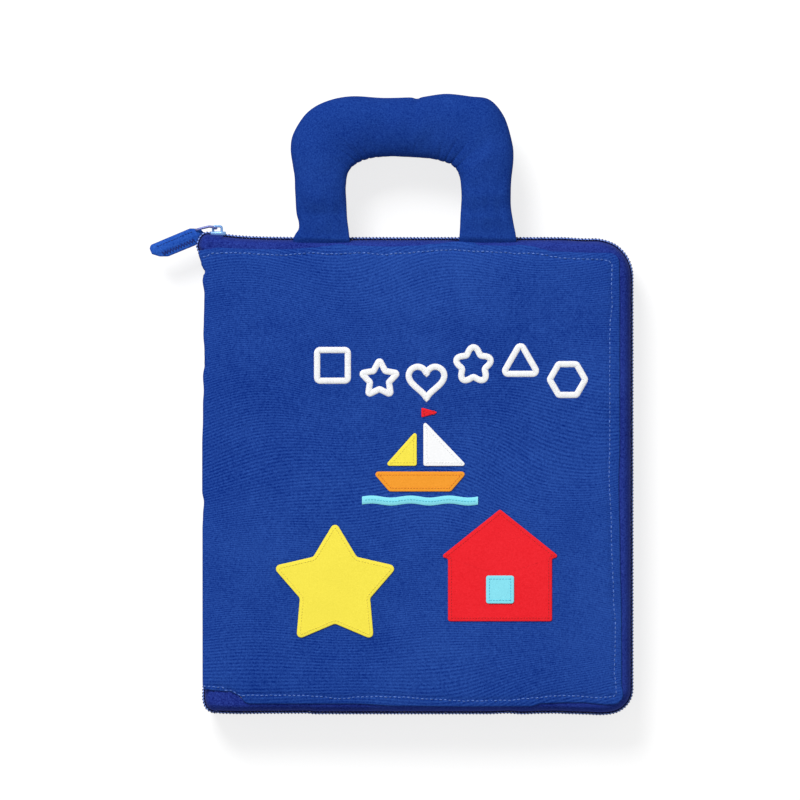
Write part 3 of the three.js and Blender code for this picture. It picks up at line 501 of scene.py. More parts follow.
def threads(name, colour, pitch=0.3, depth=10, rough=0.55, sheen=0.02, relief=0.00006, gloss=0.25):
    """Spun thread: a fine line between its strands, and a tone that changes every few millimetres of
    thread."""
    material, tree, principled = shader(name, rough, sheen, gloss=gloss)
    thread = node(tree, "ShaderNodeUVMap", uv_map="thread").outputs[0]
    strands = use(tree, strand_effect, Place=thread, Pitch=pitch)
    change = noise(tree, thread, 0.27, 1.0, flat=True)
    mask = math(tree, "ADD", math(tree, "MULTIPLY", strands[0], 0.2), math(tree, "MULTIPLY", change, 0.8))
    toned(tree, principled, colour, depth, mask)
    raised(tree, principled, strands[0], relief)
    return material


def felted(name, colour, depth=10, rough=0.95, sheen=0.08):
    """Felt or wadding: fibres in every direction, which mottle the colour and raise the surface a little."""
    material, tree, principled = shader(name, rough, sheen, gloss=CLOTH_GLOSS)
    place = node(tree, "ShaderNodeTexCoord").outputs["Object"]
    fuzz = use(tree, fuzz_effect, Place=place)
    toned(tree, principled, colour, depth, fuzz[0])
    raised(tree, principled, fuzz[0], FELT_RELIEF)
    return material


def moulded(name, colour, rough=0.35, metal=0.0, depth=5, coat=0.0, gloss=0.5):
    """Plastic or plated metal: faint mottle in the colour, and fine noise in the gloss."""
    material, tree, principled = shader(name, rough, 0.0, metal, coat, gloss)
    place = node(tree, "ShaderNodeTexCoord").outputs["Object"]
    mottle = use(tree, mottle_effect, Place=place, Size=6.0)
    toned(tree, principled, colour, depth, mottle[0])
    uneven = node(tree, "ShaderNodeMapRange", {"Value": mottle[0], "To Min": rough * 0.8,
        "To Max": rough * 1.25})
    tree.links.new(uneven.outputs[0], principled.inputs["Roughness"])
    raised(tree, principled, mottle[0], 0.00003)
    return material


# %% The finishes of this book
cover_cloth = woven("cover cloth", (20, 61, 147), depth=23, bars=0.11)
handle_cloth = woven("handle cloth", (15, 54, 137), depth=18)
lining_cloth = woven("lining cloth", (63, 115, 188), pitch=0.35)
spine_cloth = woven("spine cloth", (20, 60, 146), depth=17, bars=0.1)
tape_cloth = woven("zip tape", (20, 43, 133), pitch=0.5, depth=28, weave=0.0001)
tab_cloth = woven("pull cloth", (31, 82, 180), pitch=0.4, depth=22, weave=0.00012)
leaf_cloth = woven("leaf cloth", (241, 235, 218), pitch=0.35, depth=4)
leaf_binding = woven("leaf binding", (52, 104, 196), pitch=0.35)
pocket_cloth = woven("pocket cloth", (112, 214, 230), pitch=0.4)
yellow_cloth = woven("yellow cloth", (250, 233, 80), pitch=0.35, depth=5, size=14)
red_cloth = woven("red cloth", (240, 36, 46), pitch=0.35, depth=7, size=14)
cyan_cloth = woven("light blue cloth", (138, 228, 244), pitch=0.35, depth=5, size=14)
orange_cloth = woven("orange cloth", (246, 158, 48), pitch=0.35, depth=6, size=14)
white_cloth = woven("white cloth", (250, 251, 253), pitch=0.35, depth=3, size=14)
foam = felted("foam", (226, 224, 214), depth=5, sheen=0.0)
cover_thread = threads("cover stitching", (80, 120, 204), pitch=0.18, depth=42)
dark_thread = threads("dark stitching", (18, 48, 132), pitch=0.18, depth=12)
# Nearly black cord laid in the fold between cover and tape and just inside each coil: painted crevice shade.
crevice_shade_thread = threads("seam in the fold", (6, 14, 66), pitch=0.4, depth=6, gloss=0.1)
white_thread = threads("white thread", (250, 251, 254), pitch=0.32, depth=4)
yellow_thread = threads("yellow thread", (243, 226, 86), pitch=0.3)
red_thread = threads("red thread", (214, 34, 44), pitch=0.3)
cyan_thread = threads("light blue thread", (104, 208, 230), pitch=0.3)
orange_thread = threads("orange thread", (232, 140, 40), pitch=0.3)
coil_nylon = moulded("coil nylon", (4, 8, 56), rough=0.6, depth=5, gloss=0.12)
# A real cord, whose pale colour is partly a painted highlight showing between the dark teeth.
coil_cord_highlight = threads("coil cord with painted highlight", (126, 156, 238), pitch=0.4, depth=22)
metal = moulded("painted slider metal", (108, 152, 204), rough=0.3, metal=0.55, depth=14, coat=0.3)
link_metal = moulded("plated link metal", (104, 112, 172), rough=0.35, metal=0.4, depth=16)
felt = {name: felted(name + " felt", colour) for name, colour in {
    "red": (238, 46, 54), "green": (69, 166, 93), "yellow": (250, 234, 97), "blue": (38, 84, 173),
    "orange": (246, 163, 56), "navy": (28, 46, 98)}.items()}
plastic = {name: moulded(name + " plastic", colour, rough=0.32, coat=0.2) for name, colour in {
    "red": (222, 48, 50), "green": (52, 164, 88), "orange": (244, 152, 44), "white": (240, 240, 238)}.items()}
print(len(bpy.data.materials), "materials")


# %% [markdown]
# ## The outline of a cover
# The front cover's edge and its row of stitches are read off the photograph at a few places: the edge bows
# out at the top, wavers down the right side, and is cut slantwise at the lower left, where the zip's tape
# shows. The left edge is the fold, with a small notch. The back cover isn't seen, so it takes its solid's
# plain rectangle.

# %% Edges of the front cover
front_low, front_high = box("front_cover_cloth")
back_low, back_high = box("back_cover_cloth")
FOLD_RADIUS = 2.0
FOLD_X = front_low[0] + FOLD_RADIUS
EDGE_RADIUS = 0.8
FOLD_CORNER = 2.5
COVER_CORNER = 4.6
CLOTH_THICKNESS = 0.9
TOP_EDGE = [(-98, 77.9), (-93.3, 78.1), (-88.4, 78.9), (-79.8, 78.4), (-65.4, 78.1), (-54, 78.1),
            (-38.4, 79.0), (-34.2, 79.6), (-26.2, 80.6), (-21.5, 79.9), (-0.6, 79.4), (13.8, 79.9),
            (20.4, 80.7), (33.8, 81.9), (41.4, 81.4), (43.8, 80.1), (58.8, 79.8), (64.8, 80.3), (70.1, 79.7),
            (76.4, 78.1), (81.1, 76.9), (101.8, 76.3), (118, 76.3)]
BOTTOM_EDGE = [(-98, -142.4), (-91.5, -142.6), (-82, -143.2), (-79, -144.6), (-76.5, -145.9), (-75.2, -148),
               (-73, -149.3), (-20, -149.3), (5, -150.4), (38, -150.7), (70, -150.6), (76, -149.1),
               (88, -148.7), (97, -148.7), (102, -149.2), (108, -149.7), (118, -149.7)]
LEFT_EDGE = [(-150, -94.4), (-62, -94.45), (-55.4, -94.2), (-48.4, -93.7), (-43, -94.6), (-20, -94.6),
             (-6, -94.2), (0.7, -94.2), (7.7, -93.8), (14.7, -94.2), (21.6, -93.2), (28.6, -93.5),
             (35.6, -94), (42.6, -93.8), (50.2, -93.6), (56.6, -93.5), (63.2, -94.4), (65.2, -94.1),
             (67.6, -93.1), (70.2, -94.4), (71.6, -95.1), (78.6, -96.9)]
RIGHT_EDGE = [(-150, 116), (-145.4, 116), (-140, 115.2), (-107, 115.1), (-72, 114.4), (-37, 113.8),
              (-22, 114.3), (48, 114.3), (78, 114.1)]
TOP_STITCHES = [(-98, 74.3), (-92.1, 74.3), (-91.3, 75.5), (-88.4, 76.1), (-84.4, 76.3), (-74.4, 76.1),
                (-63.2, 75.5), (-53.7, 75.1), (-46.4, 75.6), (-38.6, 76.3), (-31.2, 75.7), (-26.2, 75.7),
                (-15.4, 76.3), (-1.6, 75.3), (0.8, 76.1), (9.2, 76.1), (14.8, 76.9), (23.4, 77.5),
                (31.4, 77.7), (44.8, 76.9), (57.2, 76.4), (62.2, 75.8), (67.8, 76.1), (72.8, 75.9),
                (81.1, 74.4), (88, 73.4), (104, 73.0), (108.6, 72.5), (118, 72.5)]
BOTTOM_STITCHES = [(-98, -140.5), (-93.4, -140.5), (-84.5, -141), (-82.9, -142.4), (-80.6, -142.6),
                   (-75.2, -145), (-45, -145), (-35.4, -145.7), (-28.6, -146.5), (-22.9, -146.5),
                   (-18.2, -145.9), (-7.3, -145.6), (6.2, -145.9), (19.2, -146.9), (37.4, -147.8),
                   (59.8, -147.5), (65.8, -146.7), (85.6, -145.1), (94, -145.4), (102.2, -146.2),
                   (111, -145.7), (118, -145.7)]
RIGHT_STITCHES = [(-148, 112.6), (-143, 112.5), (-138, 112.1), (-134, 111.5), (-116, 112), (-106.4, 112),
                  (-98.4, 111.1), (-60, 110), (-36, 108.9), (-18.4, 109.2), (40.6, 109.3), (45.6, 109.8),
                  (49, 110.5), (55.6, 110.1), (71, 110.3), (78, 110.3)]


def front_edges(x, y):
    """Distance inside the front cover's right, top and bottom edge."""
    return eased(RIGHT_EDGE, y) - x, eased(TOP_EDGE, x) - y, y - eased(BOTTOM_EDGE, x)


# %% [markdown]
# ## How high the cover stands
# The cloth is sewn down round its hem and swells over its foam. Away from each edge the swelling grows as one
# minus a falling exponential, and the shares of the three edges and the fold multiply. A narrow dip follows
# the stitching, with small puckers on both sides of it. The same function places all that lies on the cover.

# %% Height of the front cover
HEM_Z = 34.5
CROWN = front_high[2] - HEM_Z
CROWN_SHARE = 0.86
SWELL_LENGTH = 4.6
STITCH_DIP, DIP_INSIDE, DIP_WIDTH = 0.36, 0.45, 0.75
PUCKER_RISE, PUCKER_WAVE, PUCKER_REACH = 0.16, 4.5, 3.2
GATHER_RISE, GATHER_WAVE, GATHER_REACH = 0.17, 3.1, 4.5
HANDLE_FEET_X = (-35.0, 48.0)
HANDLE_FOOT_REACH = 15
SOFT_RIPPLES = ((0.22, 62, 11), (0.07, 19, 5))
BACK_PUCKER = 0.1


def stitch_distance(x, y):
    """How far each place lies inside the line of stitching; below zero on the hem."""
    return np.minimum(np.minimum(eased(RIGHT_STITCHES, y) - x, eased(TOP_STITCHES, x) - y),
                      y - eased(BOTTOM_STITCHES, x))


def sewn_swell(x, edges):
    """Share of the full swell: one minus a falling exponential of the distance from each sewn edge and from
    the fold, multiplied."""
    swell = np.prod([1 - np.exp(-np.maximum(edge, 0) / SWELL_LENGTH) for edge in edges], axis=0)
    return swell * (1 - np.exp(-np.maximum(x - FOLD_X + FOLD_RADIUS, 0) / SWELL_LENGTH))


def cover_height(x, y):
    """Height of the front cover's cloth in millimetres: hem, swelling, dip along the stitching, puckers,
    gathers below the handle's feet, ripples."""
    right, top, bottom = front_edges(x, y)
    swell = sewn_swell(x, (right, top, bottom))
    from_stitch = stitch_distance(x, y)
    dip = STITCH_DIP * np.exp(-((from_stitch - DIP_INSIDE) / DIP_WIDTH) ** 2)
    along = np.where(right < np.minimum(top, bottom), y, x)
    wave = np.sin(2 * np.pi * along / PUCKER_WAVE + 1.6 * ripples(x, y, 24, 3))
    pucker = PUCKER_RISE * wave * np.exp(-np.abs(from_stitch) / PUCKER_REACH)
    at_feet = sum(np.exp(-((x - foot) / HANDLE_FOOT_REACH) ** 4) for foot in HANDLE_FEET_X)
    at_feet = at_feet * np.exp(-np.abs(top - 4) / GATHER_REACH)
    gather = GATHER_RISE * at_feet * np.sin(2 * np.pi * x / GATHER_WAVE + 2.2 * ripples(x, y, 14, 17))
    soft = sum(rise * ripples(x, y, size, seed) for rise, size, seed in SOFT_RIPPLES) * swell
    return HEM_Z + CROWN * CROWN_SHARE * swell - dip + pucker + gather + soft


def back_height(x, y):
    """Height of the back cover's outer cloth: flat on the floor in the middle, raised at its three sewn
    edges."""
    right, top, bottom = back_high[0] - x, back_high[1] - y, y - back_low[1]
    swell = sewn_swell(x, (right, top, bottom))
    nearest = np.minimum(np.minimum(right, top), bottom)
    pucker = BACK_PUCKER * np.sin(2 * np.pi * (x + y) / PUCKER_WAVE) * np.exp(-nearest / 3)
    return back_low[2] + CROWN * (1 - swell) + np.maximum(pucker, 0)


# %% [markdown]
# ## The cover's cloth
# The outer cloth is one sheet drawn over the foam and turned down at its edges. A grid in two shares covers
# the panel, closer near its sewn edges, with its corner squares pressed into quarter rounds. From its rim,
# rings go out and down to the lining, on a wide roll at the fold and a tight one elsewhere. Solidify gives
# the sheet its thickness inwards.

# %% A cover's sheet
PANEL_STEPS = (150, 166)
PANEL_SIZE = (210, 228)
DENSE_EDGE, DENSE_STEP = 9, 0.75
RIM_HOLLOW = 0.35
FACES_FOLD = -0.7


def edge_shares(count, length, dense, step):
    """Shares from 0 to 1 for a side: steps near both ends, over the given dense width, and even ones
    between."""
    near = np.arange(0, dense, step) / length
    between = np.linspace(dense / length, 1 - dense / length, count)
    return np.concatenate([near, between, 1 - near[::-1]])


def pressed_corners(right, top, radius):
    """Distances from two edges, moved so that a corner square becomes a quarter round, as an ellipse maps a
    square."""
    a = np.clip(1 - right / radius, 0, 1)
    b = np.clip(1 - top / radius, 0, 1)
    return right + radius * (a - a * np.sqrt(1 - b**2 / 2)), top + radius * (b - b * np.sqrt(1 - a**2 / 2))


def cover_sheet(left_edge, right_edge, bottom_edge, top_edge, height, low, turned_down):
    """Skin of one cover's cloth. The edges are functions, height gives the panel, and low is where the rim
    ends. turned_down is 1 for the front cover, whose rim goes down, and -1 for the back cover."""
    u, v = (edge_shares(count, length, DENSE_EDGE, DENSE_STEP)
            for count, length in zip(PANEL_STEPS, PANEL_SIZE))
    u, v = u[:, None], v[None]
    x = left_edge(0) + u * (right_edge(0) - left_edge(0)) + 0 * v
    for _ in range(3):
        bottom, top = bottom_edge(x), top_edge(x)
        y = bottom + v * (top - bottom)
        left, right = left_edge(y), right_edge(y)
        x = left + u * (right - left)
    from_side = np.where(u < 0.5, x - left, right - x)
    from_end = np.where(v < 0.5, y - bottom, top - y)
    side, end = pressed_corners(from_side, from_end, np.where(u < 0.5, FOLD_CORNER, COVER_CORNER))
    roll = np.where(u < 0.5, FOLD_RADIUS, EDGE_RADIUS)
    side = roll + side * (1 - roll / (right - left) * 2)
    end = EDGE_RADIUS + end * (1 - EDGE_RADIUS / (top - bottom) * 2)
    x = np.where(u < 0.5, left + side, right - side)
    y = np.where(v < 0.5, bottom + end, top - end)
    panel = np.stack([x, y, height(x, y)], -1)
    rows, columns = x.shape
    index = np.arange(rows * columns).reshape(rows, columns)
    rim = np.concatenate([index[:-1, 0], index[-1, :-1], index[:0:-1, -1], index[0, :0:-1]])
    edge = panel.reshape(-1, 3)[rim]
    along = np.roll(edge, -2, 0) - np.roll(edge, 2, 0)
    along[:, 2] = 0
    along = unit(along)
    out = np.stack([along[:, 1], -along[:, 0]], -1)
    out = unit(sum(np.roll(out, shift, 0) for shift in range(-3, 4)))
    radius = np.where(out[:, 0] < FACES_FOLD, FOLD_RADIUS, EDGE_RADIUS)[:, None]
    rings = [edge]
    for angle in np.radians([18, 36, 54, 72, 90]):
        rings.append(np.concatenate([edge[:, :2] + out * radius * np.sin(angle),
                                     edge[:, 2:] - turned_down * radius * (1 - np.cos(angle))], -1))
    rolled = rings[-1]
    for share in (0.25, 0.5, 0.75, 1.0):
        ring = rolled.copy()
        ring[:, 2] += (low - rolled[:, 2]) * share
        ring[:, :2] -= out * RIM_HOLLOW * np.sin(np.pi * share)
        rings.append(ring)
    rings = np.stack(rings)
    lengths = np.cumsum(np.linalg.norm(np.diff(rings, axis=0), axis=2), axis=0)[..., None]
    points = np.concatenate([panel.reshape(-1, 3), rings[1:].reshape(-1, 3)])
    flat = np.concatenate([panel.reshape(-1, 3)[:, :2],
                           (edge[None, :, :2] + out[None] * lengths).reshape(-1, 2)])
    r, c = grid_corners(rows, columns, (False, False))
    faces = [index[r, c]]
    below = rows * columns + np.arange((len(rings) - 1) * len(rim)).reshape(-1, len(rim))
    ring_index = np.concatenate([rim[None], below])
    r, c = grid_corners(len(rings), len(rim), (False, True))
    faces.append(ring_index[r, c % len(rim)])
    if turned_down < 0:
        faces = [part[:, ::-1] for part in faces]
    return points, faces, [flat[part] for part in faces]


def cloth_wall(piece):
    """Solidify gives a sheet its thickness on its inner side."""
    wall = piece.modifiers.new("cloth thickness", "SOLIDIFY")
    wall.thickness = CLOTH_THICKNESS * MM
    wall.offset = -1


# %% Front and back cloth
SPINE_INSET = 0.8


def along_edge(knots):
    """An edge as a function of the place along it."""
    return lambda place: eased(knots, place + 0.0)


def level_edge(value):
    """A straight edge as a function of the place along it."""
    return lambda place: value + 0.0 * place


front_cloth = make("front_cover_cloth_sheet", [cover_sheet(
    along_edge(LEFT_EDGE), along_edge(RIGHT_EDGE), along_edge(BOTTOM_EDGE), along_edge(TOP_EDGE),
    cover_height, front_low[2] + 0.1, 1)], None, cover_cloth, ["front_cover_cloth"])
back_cloth = make("back_cover_cloth_sheet", [cover_sheet(
    level_edge(back_low[0] + SPINE_INSET), level_edge(back_high[0]), level_edge(back_low[1]),
    level_edge(back_high[1]), back_height, back_high[2] - 0.1, -1)], None, cover_cloth,
    ["back_cover_cloth"])
for piece in (front_cloth, back_cloth):
    cloth_wall(piece)


# %% [markdown]
# ## Flat pads and closed outlines
# Leaves, linings, felt shapes and patches are flat pieces with a cut outline. Rings of the outline are shrunk
# towards its middle for the two faces, with a quarter round between them. A swell lifts the middle of a
# stuffed piece, and a bed lets a patch follow whatever it is sewn to.

# %% Outlines
def closed_outline(corners, radius, step):
    """A polygon with rounded corners, walked once round from the middle of its first side."""
    corners = [np.array(corner, float) for corner in corners]
    start = (corners[0] + corners[-1]) / 2
    line = route([start, *corners, start], [radius] * len(corners), step)[0]
    return line[:-1]


def rectangle(low, high, radius, step=2.0):
    """A rectangle with rounded corners, from its lowest and highest corner."""
    return closed_outline([(high[0], low[1]), (high[0], high[1]), (low[0], high[1]), (low[0], low[1])],
                          radius, step)


def polygon(centre, radius, count, start_degrees, inner=None):
    """Corners of a regular polygon. With an inner radius it is a star with that many points."""
    total = count if inner is None else 2 * count
    angle = np.radians(start_degrees) + np.arange(total) * 2 * np.pi / total
    reach = np.full(total, float(radius))
    if inner is not None:
        reach[1::2] = inner
    return np.array(centre) + np.stack([reach * np.cos(angle), reach * np.sin(angle)], -1)


def left_of(along):
    """Each direction in the plane, turned a quarter to the left: minus y, then x."""
    return np.stack([-along[:, 1], along[:, 0]], -1)


def normals_of(line, closed):
    """Left-hand normals of a line of points in the plane, from the step between each point's two
    neighbours."""
    along = np.roll(line, -1, 0) - np.roll(line, 1, 0) if closed else np.gradient(line, axis=0)
    return left_of(unit(along))


def level_at(height):
    """A level surface as a function of the place on it."""
    return lambda x, y: height + 0 * x


def shrunk(outline, inset):
    """The outline moved inwards along its normals."""
    toward = normals_of(outline, True)
    if np.einsum("ij,ij->", toward, outline.mean(0) - outline) < 0:
        toward = -toward
    return outline + toward * inset


# %% A pad from its outline
BEVEL_ANGLES = np.radians([30, 60, 90])


def pad(outline, low, high, edge=0.4, swell=0.0, bed=None, place=None, rings=8, inner=0.04):
    """Skin of a flat piece between two heights. swell is how much thinner it is at its edge, spread as the
    fourth power of the share of the way out. bed adds a height for each place, and place turns local points
    into real ones."""
    middle, inset = outline.mean(0), shrunk(outline, edge)
    rows = []
    for side, face in ((-1, low), (1, high)):
        rings_here = [(middle + (inset - middle) * share, swell * share**4)
                      for share in np.linspace(inner, 1, rings)]
        rings_here += [(inset + (outline - inset) * np.sin(angle), swell + edge * (1 - np.cos(angle)))
                       for angle in BEVEL_ANGLES]
        rings_here = [np.concatenate([ring, np.full((len(outline), 1), face - side * fall)], -1)
                      for ring, fall in rings_here]
        rows += rings_here if side < 0 else rings_here[::-1]
    points = np.array(rows)
    places = points[..., :2].copy()
    if bed is not None:
        points[..., 2] += bed(points[..., 0], points[..., 1])
    if place is not None:
        points = place(points)
    return grid_skin(points, wrap=(False, True), places=places)


# %% Rows of stitches
STITCH_LEAN = 0.05


def stitches_on(line, step, height, length, radius, closed=False, sunk=0.3, uneven=0.0):
    """A row of stitches: short threads along a line in the plane, lying in the surface whose height is given.
    An uneven row has some stitches pulled deeper into the cloth and some off the line."""
    origins, along, _ = walked(line, step)
    if closed:
        origins, along = origins[:-1], along[:-1]
    rng = np.random.default_rng(len(origins))
    along = along + rng.normal(0, STITCH_LEAN, (len(origins), 1)) * left_of(along)
    reach = length / 2
    ahead, behind = origins + along * reach, origins - along * reach
    origins = origins + uneven * rng.normal(0, 0.5, (len(origins), 1)) * left_of(along)
    level = height(origins[:, 0], origins[:, 1]) - uneven * np.abs(rng.normal(0, 1, len(origins)))
    slope = height(ahead[:, 0], ahead[:, 1]) - height(behind[:, 0], behind[:, 1])
    along3 = np.concatenate([along * length, slope[:, None]], -1)
    origins3 = np.concatenate([origins, (level + radius * (1 - 2 * sunk))[:, None]], -1)
    return copies(capsule(length, radius), origins3, along3)


def sew_round(name, outline, step, surface, length, radius, body, thread, sunk=0.3):
    """A closed row of stitches along an outline, made as a piece of its own."""
    row = stitches_on(looped(outline), step, surface, length, radius, closed=True, sunk=sunk)
    make(name, [row], body, thread)


# %% [markdown]
# ## Stitching round the covers
# Three sides of each cover are topstitched a few millimetres inside the edge, in a lighter blue thread, at
# about eleven stitches in 25 mm. The row bends inwards at the slant cut. Each stitch is a short thread in the
# dip that it has made.

# %% Topstitching
STITCH_STEP = 2.3
STITCH_LENGTH = 1.5
STITCH_RADIUS = 0.3
STITCH_UNEVEN = 0.16
STITCH_CORNER = 1.6


def hem_route(left, right_stitches, top_stitches, bottom_stitches):
    """The line of stitching: along the top, down the right side, and back along the bottom. Each side is a
    function of the place along it, and gives way to the next at the corner."""
    far = right_stitches(0.0)
    highest, lowest = top_stitches(far), bottom_stitches(far)
    top_x = np.linspace(left, right_stitches(highest) - STITCH_CORNER, 160)
    side_y = np.linspace(highest - STITCH_CORNER, lowest + STITCH_CORNER, 120)
    bottom_x = np.linspace(right_stitches(lowest) - STITCH_CORNER, left, 160)
    return np.concatenate([np.stack([top_x, top_stitches(top_x)], -1),
                           np.stack([right_stitches(side_y), side_y], -1),
                           np.stack([bottom_x, bottom_stitches(bottom_x)], -1)])


front_hem = hem_route(-93.4, along_edge(RIGHT_STITCHES), along_edge(TOP_STITCHES),
                      along_edge(BOTTOM_STITCHES))
front_stitches = stitches_on(front_hem, STITCH_STEP, cover_height, STITCH_LENGTH, STITCH_RADIUS, sunk=0.12,
                             uneven=STITCH_UNEVEN)
make("front_topstitching", [front_stitches], "front_cover", cover_thread)
BACK_HEM = 3.8
BACK_STITCH_RISE = 0.35
back_hem = hem_route(-91.0, level_edge(back_high[0] - BACK_HEM), level_edge(back_high[1] - BACK_HEM),
                     level_edge(back_low[1] + BACK_HEM))
back_stitches = stitches_on(back_hem, STITCH_STEP, lambda x, y: back_height(x, y) + BACK_STITCH_RISE,
                            STITCH_LENGTH, STITCH_RADIUS, sunk=0.5)
make("back_topstitching", [back_stitches], "root", cover_thread)

# %% [markdown]
# ## Inside a cover, and the spine
# Under the cloth lie foam and a lining. The spine has its own cloth, a lining and the strip that the leaves
# are sewn to. They show only when the book is open. All are pads, and the spine's stand on edge.

# %% Foam and linings
FOAM_INSET = 1.6


def front_inset(low, high, inset):
    """The solid's rectangle, kept inside the front cover's own slanted and bowed edges."""
    x = np.linspace(low[0], high[0], 60)
    top = np.minimum(high[1], eased(TOP_EDGE, x) - inset)
    bottom = np.maximum(low[1], eased(BOTTOM_EDGE, x) + inset)
    y = np.linspace(bottom[-1] + COVER_CORNER, top[-1] - COVER_CORNER, 60)
    right = np.stack([np.minimum(high[0], eased(RIGHT_EDGE, y) - inset), y], -1)
    ends_at = x < right[:, 0].min() - COVER_CORNER
    line = np.concatenate([np.stack([x, bottom], -1)[ends_at], right, np.stack([x, top], -1)[ends_at][::-1]])
    return walked(looped(line), 3.0)[0][:-1]


for side, body in (("back", "root"), ("front", "front_cover")):
    for layer, finish, slot in (("foam", foam, "foam"), ("lining", lining_cloth, "lining_cloth")):
        name = f"{side}_cover_{layer}"
        low, high = box(name)
        outline = front_inset(low, high, FOAM_INSET) if side == "front" else rectangle(low, high, 3.0, 3.0)
        layer_pad = pad(outline, low[2], high[2], edge=0.3, swell=0.0 if layer == "lining" else 0.5)
        piece = make(f"{name}_sheet", [layer_pad], body, finish, [name])


# %% Spine
SPINE_END = -140.8


def upright(points):
    """Local (along the spine, up through the thickness, across) to the book's x, y and z."""
    return np.stack([points[..., 2], points[..., 0], points[..., 1]], -1)


def gathered(y, z):
    """The spine's outer cloth, soft and drawn into small gathers along its length."""
    return 0.16 * ripples(y, z, 16, 8) + 0.1 * np.sin(2 * np.pi * y / PUCKER_WAVE)


for name, finish, slot, swell, inset, bed in (
        ("spine_cloth", spine_cloth, "cover_cloth", 0.35, SPINE_INSET, gathered),
        ("spine_lining", lining_cloth, "lining_cloth", 0.1, 0.0, None),
        ("binding_strip", lining_cloth, "lining_cloth", 0.1, 0.0, None)):
    low, high = box(name)
    low[1] = max(low[1], SPINE_END)
    outline = rectangle(low[1:], high[1:], 1.5, 1.6)
    skin = pad(outline, low[0] + inset, high[0], edge=0.4, swell=swell, bed=bed, place=upright, rings=10)
    piece = make(f"{name}_pad", [skin], "spine", finish, [name])


# %% [markdown]
# ## The zip
# A woven tape is sewn in under each cover's edge, bows out and down to the middle of the thickness, and
# carries a coil of nylon. Both run round three sides with rounded corners, and turn in at the spine behind
# cloth ends. One route serves them all: tape and cords are sections carried along it, and the coil is a
# flattened helix that turns round it nearly 380 times, under the lighter cord that sews it to the tape. That
# cord's pale colour is partly a painted highlight on the teeth, and a nearly black cord just inside the coil
# is painted shade in the gap beside the tape. The tape is squeezed narrow where its cover lies close to the
# zip, and past the right corner it has its full width.

# %% The zip's route
coil_low, coil_high = box("zip_coil_front")
tape_high = box("zip_tape_front")[1]
ZIP_TOP_RADIUS = 20.0
ZIP_BOTTOM_RADIUS = 13.0
TOOTH_PITCH = 1.715
COIL_RISE = 2.1
COIL_RISE_LENGTH = 11.0
TOOTH_TIPS = (0.5, 0.45, 0.8)
ZIP_DROOP = [(84, 0), (98, 0.62), (106, 0.55), (116, 0.1), (130, 0)]
ZIP_BOTTOM_WAVER = [(-91, 1.0), (-84, 0.3), (-76, 0.15), (-60, 0.33), (-42, 0.4), (-38, 0.05), (48, 0.05),
                    (58, 0.4), (66, 0), (74, 0.3), (82, 0.4), (90, 0.1), (97, -0.1), (104, -0.4), (112, 0),
                    (130, 0)]


def zip_rise(x):
    """The top edge of the zip stands a little further out near the slider, and falls off past it."""
    return COIL_RISE * np.exp(-np.maximum(x - coil_low[0] - 4, 0) / COIL_RISE_LENGTH)


def lifted(line):
    """A route with the rise and droop along the book's top edge, the waver along its bottom edge, and its
    outward normals."""
    line = line.copy()
    x, y = line.T
    top = zip_rise(x) - eased(ZIP_DROOP, x)
    waver = eased(ZIP_BOTTOM_WAVER, x) * np.clip((-130 - y) / 20, 0, 1)
    line[:, 1] = y + top * np.clip((y - 60) / 20, 0, 1) + waver
    return line, normals_of(line, False)


def zip_route(start_x, step):
    """Outer edge of the zip, clockwise from above: top, open side, bottom. It lies a little outside its
    solid, as the round tips of the teeth don't fill the line."""
    side, top, bottom = TOOTH_TIPS
    right = coil_high[0] + side
    top, bottom = coil_high[1] + top, coil_low[1] - bottom
    corners = [(start_x, top), (right, top), (right, bottom), (coil_low[0], bottom)]
    return lifted(route(corners, [ZIP_TOP_RADIUS, ZIP_BOTTOM_RADIUS], step)[0])


def carried(line, normals, section):
    """Grid of a section carried along a route: columns of (how far out, height), one pair a point or one a
    station."""
    section = np.broadcast_to(section, (len(line), *np.shape(section)[-2:]))
    flat = line[:, None] + normals[:, None] * section[..., :1]
    return np.concatenate([flat, section[..., 1:]], -1)


# %% Tape, cord and coil
MIDDLE_Z = (box("zip_tape_back")[0][2] + tape_high[2]) / 2
TAPE_PLACES = np.array([(-8.5, 14.9), (-7.2, 15.0), (-5.6, 14.7), (-4.8, 14.3), (-4.0, 13.5), (-3.3, 12.2),
                        (-2.7, 9.2), (-2.35, 5.0), (-2.2, 1.5)])
TAPE_SQUEEZE, SQUEEZE_END, SQUEEZE_FADE = 0.7, 98, 18
TAPE_TUCK = 3.0
SLANT_TUCK, SLANT_END, SLANT_FADE = 7.0, -82, 8
TUCK_START, TUCK_FULL = 6.6, 1.9
TAPE_WALL = 0.7
TAPE_RIB, RIB_STEPS = 0.05, 3
COIL_OUT = -1.18
COIL_HEIGHT = 1.65
COIL_REACH = 0.76
COIL_DEPTH = 0.38
WIRE = 0.45
# The cord sits towards the coil's outer side, so that its pale colour shows between the teeth as a painted
# highlight.
CORD = (-0.74, 0.2, 0.36, 0.46)
# A nearly black cord just inside each coil: painted shade in the gap between coil and tape.
COIL_SHADE_LINE = (-1.85, 0.5, 0.42, 0.5)


def squeeze_share(x):
    """Share of its full width that the tape has: the squeeze, and from the right corner on a straight rise to
    1."""
    return TAPE_SQUEEZE + (1 - TAPE_SQUEEZE) * np.clip((x - SQUEEZE_END) / SQUEEZE_FADE, 0, 1)


def squeezed(out, share):
    """Places out from the zip's edge, drawn together towards the tape's outermost place."""
    return TAPE_PLACES[-1, 0] + (out - TAPE_PLACES[-1, 0]) * share


